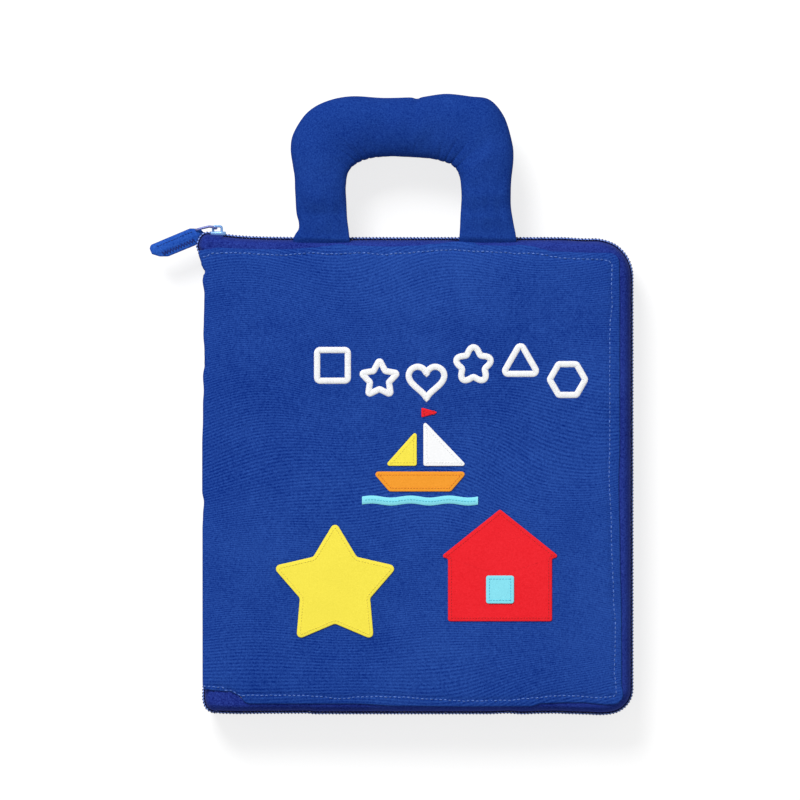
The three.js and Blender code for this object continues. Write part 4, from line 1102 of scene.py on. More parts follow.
def tape_section(tuck, share, side):
    """Closed section of the tape: its outer curve, then the same curve moved in by its thickness. tuck
    lengthens the part under the cover and share narrows the whole, station by station. side is 1 above the
    middle and -1 below it."""
    outer = curve_through(TAPE_PLACES, 22)
    inner = outer - TAPE_WALL * -normals_of(outer, False)
    loop = np.concatenate([outer, inner[::-1]])
    loop = np.broadcast_to(loop, (len(tuck), *loop.shape)).copy()
    tucked = tuck[:, None] * np.clip((-loop[..., 0] - TUCK_START) / TUCK_FULL, 0, 1)
    loop[..., 0] = squeezed(loop[..., 0], share[:, None]) - tucked
    loop[..., 1] = MIDDLE_Z + side * loop[..., 1]
    return loop


def slant_tuck(line):
    """Extra width of tape under the cover, and more of it under the slant cut at the lower left."""
    near = np.exp(-np.maximum(line[:, 0] - SLANT_END, 0) / SLANT_FADE) * (line[:, 1] < 0)
    return TAPE_TUCK + SLANT_TUCK * near


def tape(line, normals, side, tuck):
    """The tape of one half: its section carried along the route, with a fine rib, a sine outwards, across its
    weave."""
    ribs = TAPE_RIB * np.sin(2 * np.pi * np.arange(len(line)) / RIB_STEPS)[:, None, None]
    section = tape_section(tuck, squeeze_share(line[:, 0]), side)
    return grid_skin(carried(line, normals, section + ribs * np.array([1.0, 0.0])), wrap=(False, True))


def coil(line, normals, side):
    """The wire of one half: out = reach times cosine, height = depth times sine, one turn a tooth."""
    steps = 9
    length = lengths_along(line)
    at = np.arange(0, length[-1], TOOTH_PITCH / steps)
    flat = np.stack([np.interp(at, length, line[:, k]) for k in (0, 1)], -1)
    out = np.stack([np.interp(at, length, normals[:, k]) for k in (0, 1)], -1)
    turn = 2 * np.pi * at / TOOTH_PITCH
    across = COIL_OUT + COIL_REACH * np.cos(turn)
    level = MIDDLE_Z + side * COIL_HEIGHT + COIL_DEPTH * np.sin(turn)
    centre = np.concatenate([flat + out * across[:, None], level[:, None]], -1)
    radial = np.concatenate([out * np.cos(turn)[:, None], np.sin(turn)[:, None]], -1)
    return grid_skin(round_wire(centre, radial, WIRE, 5), wrap=(False, True))


def round_wire(centre, guide, radius, sides):
    """Grid of a round wire along a line of points. guide is any direction off the line, one for all or for
    each."""
    along = unit(np.gradient(centre, axis=0))
    side = unit(np.cross(along, guide))
    up = np.cross(side, along)
    angle = np.linspace(0, 2 * np.pi, sides, endpoint=False)[None, :, None]
    return centre[:, None] + radius * (np.cos(angle) * up[:, None] + np.sin(angle) * side[:, None])


def cord(line, normals, side, oval):
    """A cord along the coil: an oval given by how far out, how far above the coil, half its width, half its
    height."""
    out, above, half_width, half_height = oval
    angle = np.linspace(0, 2 * np.pi, 10, endpoint=False)
    level = MIDDLE_Z + side * (COIL_HEIGHT + above)
    section = np.stack([out + half_width * np.cos(angle), level + half_height * np.sin(angle)], -1)
    return grid_skin(carried(line, normals, section), wrap=(False, True))


for side, label, body in ((1, "front", "front_cover"), (-1, "back", "root")):
    start = box(f"zip_coil_{label}")[0][0]
    line, normals = zip_route(start, 0.6)
    tuck = slant_tuck(line) if side > 0 else np.full(len(line), TAPE_TUCK)
    make(f"zip_tape_{label}_cloth", [tape(line, normals, side, tuck)], body, tape_cloth,
         [f"zip_tape_{label}"])
    make(f"zip_coil_{label}_turns", [coil(line, normals, side)], body, coil_nylon,
         [f"zip_coil_{label}"])
    make(f"zip_coil_{label}_cord", [cord(line, normals, side, CORD)], body, coil_cord_highlight)
    # The dark cord beside the coil is painted shade in the gap next to the tape.
    make(f"zip_coil_{label}_seam", [cord(line, normals, side, COIL_SHADE_LINE)], body, crevice_shade_thread)
print("zip:", int(lengths_along(line)[-1] / TOOTH_PITCH), "teeth a side")

# %% Dark cord in the fold between cover and tape, as painted crevice shade
FOLD_SHADE_OUT, FOLD_SHADE_RISE, FOLD_SHADE_NEAREST = 0.35, 0.1, 2.6
FOLD_SHADE_RADIUS = 0.4
FOLD_SHADE_TOP, FOLD_SHADE_BOTTOM = -83.0, -74.0
edge_line = hem_route(-93.0, along_edge(RIGHT_EDGE), along_edge(TOP_EDGE), along_edge(BOTTOM_EDGE))
edge_line = walked(edge_line, 1.2)[0]
from_slant = np.where(edge_line[:, 1] > 0, edge_line[:, 0] - FOLD_SHADE_TOP,
                      edge_line[:, 0] - FOLD_SHADE_BOTTOM)
edge_line = edge_line[from_slant > 0]
edge_line = edge_line + FOLD_SHADE_OUT * normals_of(edge_line, False)
zip_line = zip_route(box("zip_coil_front")[0][0], 1.0)[0]
from_zip = np.linalg.norm(edge_line[:, None] - zip_line[None], axis=2).min(1)
shade_line_out = squeezed(-np.maximum(from_zip, FOLD_SHADE_NEAREST), 1 / squeeze_share(edge_line[:, 0]))
shade_line_z = MIDDLE_Z + np.interp(shade_line_out, *TAPE_PLACES.T) + FOLD_SHADE_RISE
shade_line_centre = np.concatenate([edge_line, shade_line_z[:, None]], -1)
# A nearly black cord along the cover's edge is painted shade in the crevice between cover and tape.
fold_shade_line = round_wire(shade_line_centre, UP, FOLD_SHADE_RADIUS, 6)
make("front_fold_seam", [grid_skin(fold_shade_line, wrap=(False, True))], "front_cover",
     crevice_shade_thread)

# %% Cloth ends of the zip
END_BELOW_TAPE = 0.3
END_REACH = -10.0
END_TIPS = 0.4
END_STEP = 0.5
ENDS = {
    "top": {"pivot": (216.3, 251.3), "runs_on": [(219, 232.8), (224, 233.6)],
            "coil": [(199.6, 256), (197.6, 250.5), (196.2, 245.5), (197.2, 241), (199.6, 236),
                     (203.5, 232.6), (208.9, 232), (214, 232.4)]},
    "bottom": {"pivot": (218.3, 695.3), "runs_on": [(219, 713.2), (224, 713.4)],
               "coil": [(203.2, 682), (202.7, 690), (202.5, 698), (203.6, 704.6), (206.3, 709.5),
                        (210.6, 712.3), (214.6, 713.4)]},
}


def end_line(pixels, pivot):
    """A route through places in the photograph, and at each point the direction away from the pivot."""
    line = walked(curve_through(from_pixels(pixels), 80), END_STEP)[0]
    away = unit(line - from_pixels([pivot]))
    return line + END_TIPS * away, away


end_places = np.stack([squeezed(TAPE_PLACES[:, 0], TAPE_SQUEEZE), TAPE_PLACES[:, 1] - END_BELOW_TAPE], -1)
end_places = np.concatenate([[(END_REACH, end_places[0, 1])], end_places[:-1],
                             [(end_places[-1, 0] - 0.05, 0.0)]])
half = curve_through(end_places, 18)
end_outer = np.concatenate([half, (half * [1, -1])[-2::-1]])
end_inner = end_outer + TAPE_WALL * normals_of(end_outer, False)
end_section = np.concatenate([end_outer, end_inner[::-1]]) + [0, MIDDLE_Z]
for label, end in ENDS.items():
    line, away = end_line(end["coil"] + end["runs_on"], end["pivot"])
    make(f"zip_end_{label}_cloth", [grid_skin(carried(line, away, end_section), wrap=(False, True))], "spine",
         tape_cloth, [f"zip_end_tab_{label}"])
    line, away = end_line(end["coil"], end["pivot"])
    if label == "bottom":
        line, away = line[::-1], away[::-1]
    make(f"zip_end_{label}_turns", [coil(line, away, side) for side in (1, -1)], "spine",
         coil_nylon)
    make(f"zip_end_{label}_cord", [cord(line, away, side, CORD) for side in (1, -1)], "spine",
         coil_cord_highlight)
    # The dark cord beside each coil is painted shade in the gap next to the tape.
    make(f"zip_end_{label}_seam", [cord(line, away, side, COIL_SHADE_LINE) for side in (1, -1)], "spine",
         crevice_shade_thread)


# %% [markdown]
# ## Slider, link and cloth pull
# The slider is cast metal, painted light blue: two plates that squeeze the coils, a wedge between them, and a
# bail on the outer plate. A bent wire link hangs in the bail, and a folded strip of cloth is sewn through it.
# The plates are pads stood on edge, and the bail and link are wires carried along rounded outlines. The pull
# is a pad that droops, with a dark zigzag of stitches along its lower half. The pull is squashed to a slim
# strip, so that it stays clear of the cover.

# %% Slider body
slider_low, slider_high = box("slider_body")
PLATE, INNER_PLATE = 2.4, 1.0
PLATE_WAIST = 0.88
BAIL_RISE, BAIL_TOP, BAIL_SUNK = 3.6, 2.5, 0.6
BAIL_POSTS = (-3.0, 1.3)
BAIL_WIRE = 0.66
slider_middle_x = (slider_low[0] + slider_high[0]) / 2
plate_out = slider_high[1] - BAIL_RISE
half_length = (slider_high[0] - slider_low[0]) / 2
half_height = (slider_high[2] - slider_low[2]) / 2


def facing_out(points):
    """Local (along the zip, up, outwards) to the book's x, y and z, round the slider's middle."""
    return np.stack([slider_middle_x + points[..., 0], points[..., 2], MIDDLE_Z + points[..., 1]], -1)


def plate_outline(length, height, waist):
    """A slider's plate seen from outside: straight at the mouth, drawn in at its middle and its tail."""
    top = curve_through([(-length, height * 0.84), (-length * 0.3, height * waist), (length * 0.45, height),
                         (length, height * 0.9)], 24)
    outline = np.concatenate([top, (top * [1, -1])[::-1]])
    return walked(looped(outline), 0.5)[0][:-1]


outer_plate = pad(plate_outline(half_length * 0.84, half_height, PLATE_WAIST) - [0.4, 0], plate_out - PLATE,
                  plate_out, edge=0.45, swell=0.15, place=facing_out)
inner_plate = pad(plate_outline(half_length * 0.94, half_height * 0.9, PLATE_WAIST), slider_low[1],
                  slider_low[1] + INNER_PLATE, edge=0.35, place=facing_out)
wedge = pad(polygon((0, 0), 1.1, 6, 0) * [1.3, 0.5], slider_low[1] + 0.9, plate_out - 0.9, edge=0.2,
            place=facing_out)
bail_foot, bail_head = plate_out - BAIL_SUNK, plate_out + BAIL_TOP
bail_line = route([(BAIL_POSTS[0], bail_foot), (BAIL_POSTS[0], bail_head), (BAIL_POSTS[1], bail_head),
                   (BAIL_POSTS[1], bail_foot)], [1.0, 1.0], 0.3)[0]
bail_centre = np.stack([slider_middle_x + bail_line[:, 0], bail_line[:, 1],
                        np.full(len(bail_line), MIDDLE_Z)], -1)
bail = grid_skin(round_wire(bail_centre, UP, BAIL_WIRE, 10), wrap=(False, True))
make("slider_casting", [outer_plate, inner_plate, wedge, bail], "slider", metal, ["slider_body"])

# %% Wire link
link_low, link_high = box("pull_link")
LINK_WIRE, LINK_INSET = 0.62, 0.55
(link_left, _, link_bottom), (link_right, _, link_top) = link_low + LINK_INSET, link_high - LINK_INSET
link_flat = closed_outline([(link_left, link_bottom), (link_right, link_bottom), (link_right, link_top),
                            (link_left, link_top)], 2.0, 0.4)
LINK_BOW = [(-98.3, 87.7), (-95, 88.6), (-91.2, 89.5), (-89.4, 89.3), (-88.2, 88.6), (-87, 88.6)]
link_centre = np.stack([link_flat[:, 0], np.interp(link_flat[:, 0], *np.array(LINK_BOW).T), link_flat[:, 1]],
                       -1)
link_overlapped = np.concatenate([link_centre[-1:], link_centre, link_centre[:1]])
link_ring = round_wire(link_overlapped, [0.0, 1.0, 0.0], LINK_WIRE, 8)[1:-1]
make("link_wire", [grid_skin(link_ring, wrap=(True, True), capped=False)], "pull", link_metal,
     ["pull_link"])

# %% Cloth pull
tab_low, tab_high = box("pull_tab")
PULL_PIXELS = [(150.6, 244.6), (149.2, 248.4), (151.6, 254), (159.6, 256.4), (168, 256.3), (196.2, 244.7),
               (199, 240.6), (202, 236.4), (203.6, 232.4), (200, 228.4), (189.6, 228.2)]
PULL_NECK = np.array([-96.4, 85.4])
PULL_SLOPE = np.radians(23)
PULL_LENGTH = 25.0
ZIGZAG_STEP, ZIGZAG_MIDDLE, ZIGZAG_REACH = 0.75, 1.7, 1.1
PULL_SEAM_SIDE = -2.7
pull_axis = -np.array([np.cos(PULL_SLOPE), np.sin(PULL_SLOPE)])
pull_side = np.array([-pull_axis[1], pull_axis[0]])
half_pull = (tab_high[2] - tab_low[2]) / 2


def pull_relief(x, y):
    """The pull lies at the middle height, soft and uneven, and folds down a little along its line of
    zigzag."""
    across = (np.stack([x, y], -1) - PULL_NECK) @ pull_side
    return MIDDLE_Z + 0.12 * ripples(x, y, 7, 2) - 0.3 * np.exp(-((across - 1.6) / 1.2) ** 2)


def pull_stitches(origins, along, length, radius):
    """Stitches on the upper face of the pull, given along and across it."""
    flat = PULL_NECK + origins[:, :1] * pull_axis + origins[:, 1:] * pull_side
    level = pull_relief(flat[:, 0], flat[:, 1]) + half_pull + 0.04
    turned = along[:, :1] * pull_axis + along[:, 1:] * pull_side
    return copies(capsule(length, radius), np.concatenate([flat, level[:, None]], -1),
                  np.concatenate([turned, np.zeros((len(along), 1))], -1))


pull_outline = closed_outline(from_pixels(PULL_PIXELS), 0.9, 0.5)
pull_skin = pad(pull_outline, -half_pull, half_pull, edge=0.8, swell=0.45, rings=16, bed=pull_relief)
pull_piece = make("pull_cloth", [pull_skin], "pull", tab_cloth, ["pull_tab"])

# %% Stitches on the pull
zig_x = np.arange(3.0, PULL_LENGTH - 4.5, ZIGZAG_STEP)
zig_y = ZIGZAG_MIDDLE + ZIGZAG_REACH * (-1.0) ** np.arange(len(zig_x))
zig_points = np.stack([zig_x, zig_y], -1)
zigzag, zig_along = (zig_points[1:] + zig_points[:-1]) / 2, np.diff(zig_points, axis=0)
seam_x = np.arange(3.0, PULL_LENGTH - 2.5, 1.5)
seam = np.stack([seam_x, np.full(len(seam_x), PULL_SEAM_SIDE)], -1)
pull_thread = make("pull_stitching", [pull_stitches(zigzag, zig_along, 2.4, 0.3)], "pull",
                   dark_thread)
pull_seam = make("pull_seam", [pull_stitches(seam, np.tile([1.0, 0.0], (len(seam), 1)), 1.1, 0.16)], "pull",
                 dark_thread)
for piece in (pull_piece, pull_thread, pull_seam):
    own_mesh(piece)

# %% [markdown]
# ## The handle
# A tube of the cover's cloth, stuffed, and sewn under the hem at both feet. Its two edges are read off the
# photograph as pairs of places across the tube, from the left foot over the top to the right foot, and a
# section is an oval between a pair. It is flat at its sewn feet and full along the top. Where the tube bends,
# the cloth on the inside is too long and wrinkles, and a few finer wrinkles run into its top.

# %% Handle edges
HANDLE_PIXELS = [((350, 254), (290, 256)), ((350, 246), (292, 247)), ((349.5, 238), (294.3, 236)),
                 ((348.5, 229), (298.5, 229)), ((347.5, 221), (298.7, 222)), ((347, 211), (296.3, 212)),
                 ((346, 192), (295.2, 192)), ((346.2, 184), (294.6, 178)), ((347, 176), (292.7, 166)),
                 ((349.5, 170), (290.6, 148)), ((354.5, 165), (293.8, 132.3)), ((361, 161.5), (306.7, 113)),
                 ((368, 159), (326.2, 101.1)), ((377, 157.3), (352, 96)), ((391.6, 156.4), (384, 97.7)),
                 ((406, 156.8), (409, 97.2)), ((412, 157.2), (417, 98.7)), ((419, 157.6), (424, 96.7)),
                 ((433.5, 159), (446, 93.6)), ((444.6, 162), (470, 96.1)), ((451, 164.6), (489.7, 99.5)),
                 ((455.5, 168.5), (504.3, 116.6)), ((458.3, 173), (512.1, 142)), ((460, 178.5), (513.4, 158)),
                 ((460.8, 185), (511.3, 180)), ((461.6, 197), (510.8, 197)), ((461, 209), (511.2, 209)),
                 ((460.4, 220), (513.3, 222)), ((459.6, 233), (516, 236)), ((459, 246), (516.5, 245.7)),
                 ((458.5, 254), (517.5, 255))]
HANDLE_THICKNESS = [(0, 1.0), (0.024, 0.9), (0.045, 1.7), (0.1, 3.2), (0.16, 5.6), (0.26, 7.6), (0.5, 9.0),
                    (0.74, 7.6), (0.84, 5.6), (0.9, 3.2), (0.955, 1.7), (0.976, 0.9), (1, 1.0)]
HANDLE_LEVEL = [(0, 30.4), (0.022, 30.4), (0.045, 32.0), (0.16, 31.4), (0.3, 28.6), (0.5, 27.6), (0.7, 28.6),
                (0.84, 31.4), (0.955, 32.0), (0.978, 30.4), (1, 30.4)]
HANDLE_ROWS = 320
HANDLE_SIDES = 64
WRINKLE_PIXELS = [(354, 151), (441, 152), (374, 146), (408, 147)]
WRINKLE_DEPTH = [0.34, 0.3, 0.36, 0.26]
WRINKLE_REACH = [(6.0, 4.0), (6.0, 4.0), (7.0, 3.6), (12.0, 3.2)]
WRINKLE_WAVE = 2.3
BEND_SHARES, BEND_REACH = (0.335, 0.665), 0.075
FOOT_SHARES, FOOT_REACH = (0.1, 0.9), 0.06
CREASE_DEPTH, CREASE_WAVE = 0.85, 6.2
FOLD_DEPTH = 0.5
SOFT_END = 0.08
pairs = np.array(HANDLE_PIXELS, float)
inner_edge = curve_through(from_pixels(pairs[:, 0]), HANDLE_ROWS)
outer_edge = curve_through(from_pixels(pairs[:, 1]), HANDLE_ROWS)
handle_along = lengths_along((inner_edge + outer_edge) / 2)
handle_share = handle_along / handle_along[-1]


# %% Handle cloth
def bells(share, places, reach):
    """A bell curve round each of some places along the tube, added together."""
    return sum(np.exp(-((share - place) / reach) ** 2) for place in places)


def handle_points(shrink=0.0):
    """Grid of the handle: an oval between the two edges at each station, with wrinkles on the inside of its
    bends and soft hollows all over. shrink moves every point inwards."""
    angle = np.linspace(0, 2 * np.pi, HANDLE_SIDES, endpoint=False)[None]
    middle = (inner_edge + outer_edge) / 2
    reach = (outer_edge - inner_edge) / 2
    thick = eased(HANDLE_THICKNESS, handle_share)[:, None]
    level = eased(HANDLE_LEVEL, handle_share)[:, None]
    across, up = np.cos(angle) + 0 * level, np.sin(angle) + 0 * level
    s, share = handle_along[:, None], handle_share[:, None]
    inside = np.clip(-across, 0, 1)
    wave = 2 * np.pi * s / CREASE_WAVE + 1.8 * ripples(s, 9 * angle, 26, 21)
    crease = bells(share, BEND_SHARES, BEND_REACH) * inside**1.4 * np.maximum(np.sin(wave), -0.2) ** 2
    wave = np.sin(2 * np.pi * across * 2.2 + 2.2 * ripples(s, across, 20, 4))
    fold = bells(share, FOOT_SHARES, FOOT_REACH) * np.abs(up) * (0.5 + 0.5 * wave)
    hollow = 0.55 * ripples(s, 11 * angle, 30, 31) + 0.22 * ripples(s, 11 * angle, 11, 32)
    ends = np.clip(np.minimum(share, 1 - share) / SOFT_END, 0, 1)
    change = hollow * (0.35 + 0.65 * np.abs(up)) - CREASE_DEPTH * crease - FOLD_DEPTH * fold
    change = change * ends - shrink
    half_width = np.linalg.norm(reach, axis=1)[:, None]
    across = across * np.maximum(1 + change * 0.55 / half_width, 0.1)
    up = up * np.maximum(thick + change, 0.25)
    flat = middle[:, None] + reach[:, None] * across[..., None]
    x, y = flat[..., 0], flat[..., 1]
    for (x0, y0), depth, (wide, tall) in zip(from_pixels(WRINKLE_PIXELS), WRINKLE_DEPTH, WRINKLE_REACH):
        near = np.exp(-((x - x0) / wide) ** 2 - ((y - y0) / tall) ** 2)
        wave = np.sin(2 * np.pi * (x + 0.25 * y) / WRINKLE_WAVE + 3.4 * ripples(x, y, 6, 23))
        up = up - depth * near * np.maximum(wave, -0.3) * np.sign(up)
    return np.concatenate([flat, (level + up)[..., None]], -1)


handle = make("handle_tube", [grid_skin(handle_points(), wrap=(False, True))], None,
              handle_cloth, ["handle_cover"])
WADDING_ROWS = slice(45, HANDLE_ROWS - 45)
WADDING_SHRINK = 2.2
wadding_grid = handle_points(WADDING_SHRINK)[WADDING_ROWS]
wadding = make("handle_stuffing", [grid_skin(wadding_grid, wrap=(False, True))], "handle", foam,
               ["handle_wadding"])
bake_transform(handle)
print("handle:", round(handle_along[-1]), "mm of tube along its middle")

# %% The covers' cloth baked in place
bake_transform(front_cloth)
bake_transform(back_cloth)

# %% [markdown]
# ## Stitched shapes on the cover
# A wave of six plain shapes is embroidered in white satin stitch: threads laid side by side across a line.
# Each is a low rounded band carried round the shape, ridged at every thread, on the swell of the cover.

# %% Satin bands
STROKE, STROKE_RIDGE = 1.6, 0.1
SATIN_RISE, RISE_RIDGE = 0.62, 0.22
SATIN_THREAD = 0.52
SATIN_STEPS = 3


def satin(outline):
    """Band of satin stitch round a closed line: a half ellipse in section, lower and narrower between
    threads."""
    line, _, at = walked(looped(outline), SATIN_THREAD / SATIN_STEPS)
    line, at = line[:-1], at[:-1]
    normals = normals_of(line, True)
    thread = np.abs(np.sin(np.pi * at / SATIN_THREAD))[:, None]
    angle = np.linspace(0, 2 * np.pi, 12, endpoint=False)[None]
    out = np.cos(angle) * (STROKE - STROKE_RIDGE + STROKE_RIDGE * thread)
    rise = np.maximum(np.sin(angle), -0.15) * SATIN_RISE * (1 - RISE_RIDGE + RISE_RIDGE * thread)
    flat = line[:, None] + normals[:, None] * out[..., None]
    level = cover_height(flat[..., 0], flat[..., 1])
    points = np.concatenate([flat, (level + rise)[..., None]], -1)
    places = np.stack(np.broadcast_arrays(at[:, None], STROKE * angle), -1)
    return grid_skin(points, wrap=(True, True), capped=False, places=places)


def heart(radius, count=72):
    """The usual heart curve: sine cubed across, four cosines up."""
    t = np.linspace(0, 2 * np.pi, count, endpoint=False)
    up = 13 * np.cos(t) - 5 * np.cos(2 * t) - 2 * np.cos(3 * t) - np.cos(4 * t)
    return np.stack([16 * np.sin(t) ** 3, up + 2.5], -1) * radius / 16


def flower(radius, petals=5, dent=0.16, count=120):
    """A flower with round petals: a circle whose radius rises and falls with the cosine of petals times the
    angle."""
    t = np.linspace(0, 2 * np.pi, count, endpoint=False)
    reach = radius * (1 - dent + dent * np.cos(petals * (t - np.pi / 2)))
    return np.stack([reach * np.cos(t), reach * np.sin(t)], -1)


SHAPE_RADIUS = 8.9
shapes = {
    "square": closed_outline(polygon((0, 0), SHAPE_RADIUS * 1.22, 4, 45), 1.6, 0.5),
    "star": closed_outline(polygon((0, 0), SHAPE_RADIUS * 1.08, 5, 90, SHAPE_RADIUS * 0.56), 0.7, 0.5),
    "heart": heart(SHAPE_RADIUS),
    "flower": flower(SHAPE_RADIUS),
    "triangle": closed_outline(polygon((0, -1.5), SHAPE_RADIUS * 1.15, 3, 90), 1.6, 0.5),
    "hexagon": closed_outline(polygon((0, 0), SHAPE_RADIUS, 6, 0), 1.2, 0.5),
}
for title, outline in shapes.items():
    low, high = box(f"stitched_{title}")
    centre = (low[:2] + high[:2]) / 2
    outline = outline - (outline.max(0) + outline.min(0)) / 2 + centre
    make(f"satin_{title}", [satin(outline)], "front_cover", white_thread,
         [f"stitched_{title}"])

# %% [markdown]
# ## Patches sewn on the cover
# A yellow star, a red house with a light blue window, and a small boat are cut from cloth and sewn down just
# inside their edges. A patch is a thin pad that lies on the cover's swell, puffed inside its line of
# stitches.

# %% A patch
PATCH_THICKNESS = 0.75
SEAM_INSET, SEAM_STEP, SEAM_STITCH, SEAM_RADIUS = 1.7, 1.5, 1.15, 0.2


def patch(node_name, outline, finish, thread, under=0.0):
    """A patch on the cover with its row of stitches. under is the thickness of what lies below it."""
    low, high = box(node_name)
    outline = outline - (outline.max(0) + outline.min(0)) / 2 + (low[:2] + high[:2]) / 2
    skin = pad(outline, under + 0.03, under + PATCH_THICKNESS, edge=0.3, swell=0.06, bed=cover_height,
               rings=14)
    make(node_name.replace("patch", "cloth_patch"), [skin], "front_cover", finish, [node_name])
    sew_round(node_name.replace("patch", "seam"), shrunk(outline, SEAM_INSET), SEAM_STEP,
              lambda x, y: cover_height(x, y) + under + PATCH_THICKNESS - 0.05, SEAM_STITCH, SEAM_RADIUS,
              "front_cover", thread, sunk=0.35)


# %% Star, house and boat
STAR_DEPTH = 0.56
EAVES, WALL = 4 / 60, 32 / 56
HOUSE = [(1 - EAVES, 0), (1 - EAVES, WALL - 0.01), (1, WALL), (0.5, 1), (0, WALL), (EAVES, WALL - 0.01),
         (EAVES, 0)]
star_low, star_high = box("star_patch")
star_radius = (star_high[0] - star_low[0]) / 2 / np.cos(np.radians(18))
patch("star_patch", closed_outline(polygon((0, 0), star_radius, 5, 90, star_radius * STAR_DEPTH), 2.2, 0.8),
      yellow_cloth, yellow_thread)
for name, shares, radius, step, finish, thread, slot, under in (
        ("house", HOUSE, 1.0, 0.8, red_cloth, red_thread, "felt_red", 0.0),
        ("window", [(1, 0), (1, 1), (0, 1), (0, 0)], 1.2, 0.8, cyan_cloth, cyan_thread, "felt_cyan",
         PATCH_THICKNESS),
        ("boat_hull", [(0.82, 0), (1, 1), (0, 1), (0.18, 0)], 1.4, 0.8, orange_cloth, orange_thread,
         "felt_orange", 0),
        ("boat_main_sail", [(1, 0), (0, 1), (0, 0)], 1.0, 0.8, white_cloth, white_thread, "thread_white", 0),
        ("boat_jib", [(1, 0), (1, 1), (0, 0)], 1.0, 0.8, yellow_cloth, yellow_thread, "felt_yellow", 0),
        ("boat_pennant", [(1, 0.5), (0, 1), (0, 0)], 0.5, 0.4, red_cloth, red_thread, "felt_red", 0)):
    low, high = box(f"{name}_patch")
    outline = closed_outline(low[:2] + np.array(shares) * (high[:2] - low[:2]), radius, step)
    patch(f"{name}_patch", outline, finish, thread, under)

# %% Waves under the boat
WAVE_COUNT, WAVE_CREST = 3, 0.5
WAVE_SECTION = np.array([0.4, 0.95, 1, 1, 0.95, 0.4])
waves_low, waves_high = box("boat_waves_patch")


def wave_edge(share, base):
    """A long edge of the strip: a sine across it, with a few whole waves in its length."""
    x = waves_low[0] + (waves_high[0] - waves_low[0]) * share
    return np.stack([x, base + WAVE_CREST * np.sin(2 * np.pi * WAVE_COUNT * share)], -1)


wave_share = np.linspace(0, 1, 90)
wave_top = wave_edge(wave_share, waves_high[1] - WAVE_CREST)
wave_bottom = wave_edge(wave_share, waves_low[1] + WAVE_CREST)
across = np.linspace(0, 1, len(WAVE_SECTION))[None, :, None]
upper = wave_bottom[:, None] * (1 - across) + wave_top[:, None] * across
upper_z = cover_height(upper[..., 0], upper[..., 1]) + PATCH_THICKNESS * WAVE_SECTION
upper = np.concatenate([upper, upper_z[..., None]], -1)
lower = upper[:, ::-1].copy()
lower[..., 2] = cover_height(lower[..., 0], lower[..., 1]) + 0.03
make("boat_waves_cloth", [grid_skin(np.concatenate([upper, lower], 1), wrap=(False, True))], "front_cover",
     cyan_cloth, ["boat_waves_patch"])
wave_seam = stitches_on((wave_top + wave_bottom)[3:-3] / 2, SEAM_STEP,
                        lambda x, y: cover_height(x, y) + PATCH_THICKNESS, SEAM_STITCH, SEAM_RADIUS)
make("boat_waves_seam", [wave_seam], "front_cover", cyan_thread)

# %% [markdown]
# ## The leaves
# Four padded leaves are bound round their edge with a folded strip, and each carries something to play with.
# A leaf is a pad with a soft swell. Its binding is a flattened loop carried round the same outline.
# Everything on a leaf rides with it: the clock's hands turn on a snap, the counters run on a ribbon, and the
# pocket has its own small zip.

# %% Padded leaves
BINDING_WIDTH, BINDING_WALL = 5.0, 0.28
LEAF_TUCK = 0.12


def leaf_bed(seed):
    """Slow unevenness of a leaf, as a function of the place on it."""
    return lambda x, y: 0.07 * ripples(x, y, 34, 40 + seed)


for number, body in enumerate(("leaf_one", "leaf_two", "leaf_three", "leaf_four"), start=1):
    low, high = box(f"leaf_{number}")
    half, middle_z = (high[2] - low[2]) / 2, (low[2] + high[2]) / 2
    outline = rectangle(low[:2] + BINDING_WALL, high[:2] - BINDING_WALL, 8.0, 2.2)
    skin = pad(outline, low[2] + LEAF_TUCK, high[2] - LEAF_TUCK, edge=0.45, swell=0.32, bed=leaf_bed(number),
               rings=22)
    leaf = make(f"leaf_{number}_pad", [skin], body, leaf_cloth, [f"leaf_{number}"])
    edge_line = rectangle(low[:2], high[:2], 8.2, 1.6)
    inward = shrunk(edge_line, 1.0) - edge_line
    folded = [(BINDING_WIDTH, half - 0.22), (BINDING_WIDTH * 0.55, half - 0.2), (0.7, half - 0.34),
              (0.12, half * 0.45), (0, 0)]
    folded = np.array(folded + [(out, -up) for out, up in folded[-2::-1]])
    inside = folded * [1, 0] + np.stack([np.where(folded[:, 0] > 1, 0, BINDING_WALL),
                                         folded[:, 1] - np.sign(folded[:, 1]) * BINDING_WALL], -1)
    strip = np.concatenate([folded, inside[::-1]]) + [0, middle_z]
    loop = grid_skin(carried(edge_line, inward, strip), wrap=(True, True), capped=False)
    make(f"leaf_{number}_binding", [loop], body, leaf_binding)
    sew_round(f"leaf_{number}_seam", shrunk(edge_line, BINDING_WIDTH - 1.0), 2.8,
              level_at(middle_z + half - 0.2), 1.9, 0.16, body, white_thread, sunk=0.4)

# %% Clock face on the first leaf
HOURS = 12
HOUR_RING = 10
low, high = box("clock_dial")
dial_centre, dial_radius, dial_top = (low[:2] + high[:2]) / 2, (high[0] - low[0]) / 2, high[2]


def circle(centre, radius, count=64):
    """Points round a circle: cosine across, sine up."""
    angle = np.linspace(0, 2 * np.pi, count, endpoint=False)
    return np.array(centre) + radius * np.stack([np.cos(angle), np.sin(angle)], -1)


def hour_mark(direction, reach):
    """A small bar near the rim that points at the middle: a rectangle turned to its direction."""
    turn = np.stack([direction, left_of(direction[None])[0]])
    bar = np.array([(4, -1.3), (4, 1.3), (-reach, 1.3), (-reach, -1.3)]) @ turn
    outline = closed_outline(dial_centre + direction * (dial_radius - HOUR_RING) + bar, 1.0, 0.5)
    return pad(outline, dial_top, dial_top + 0.45, edge=0.2)


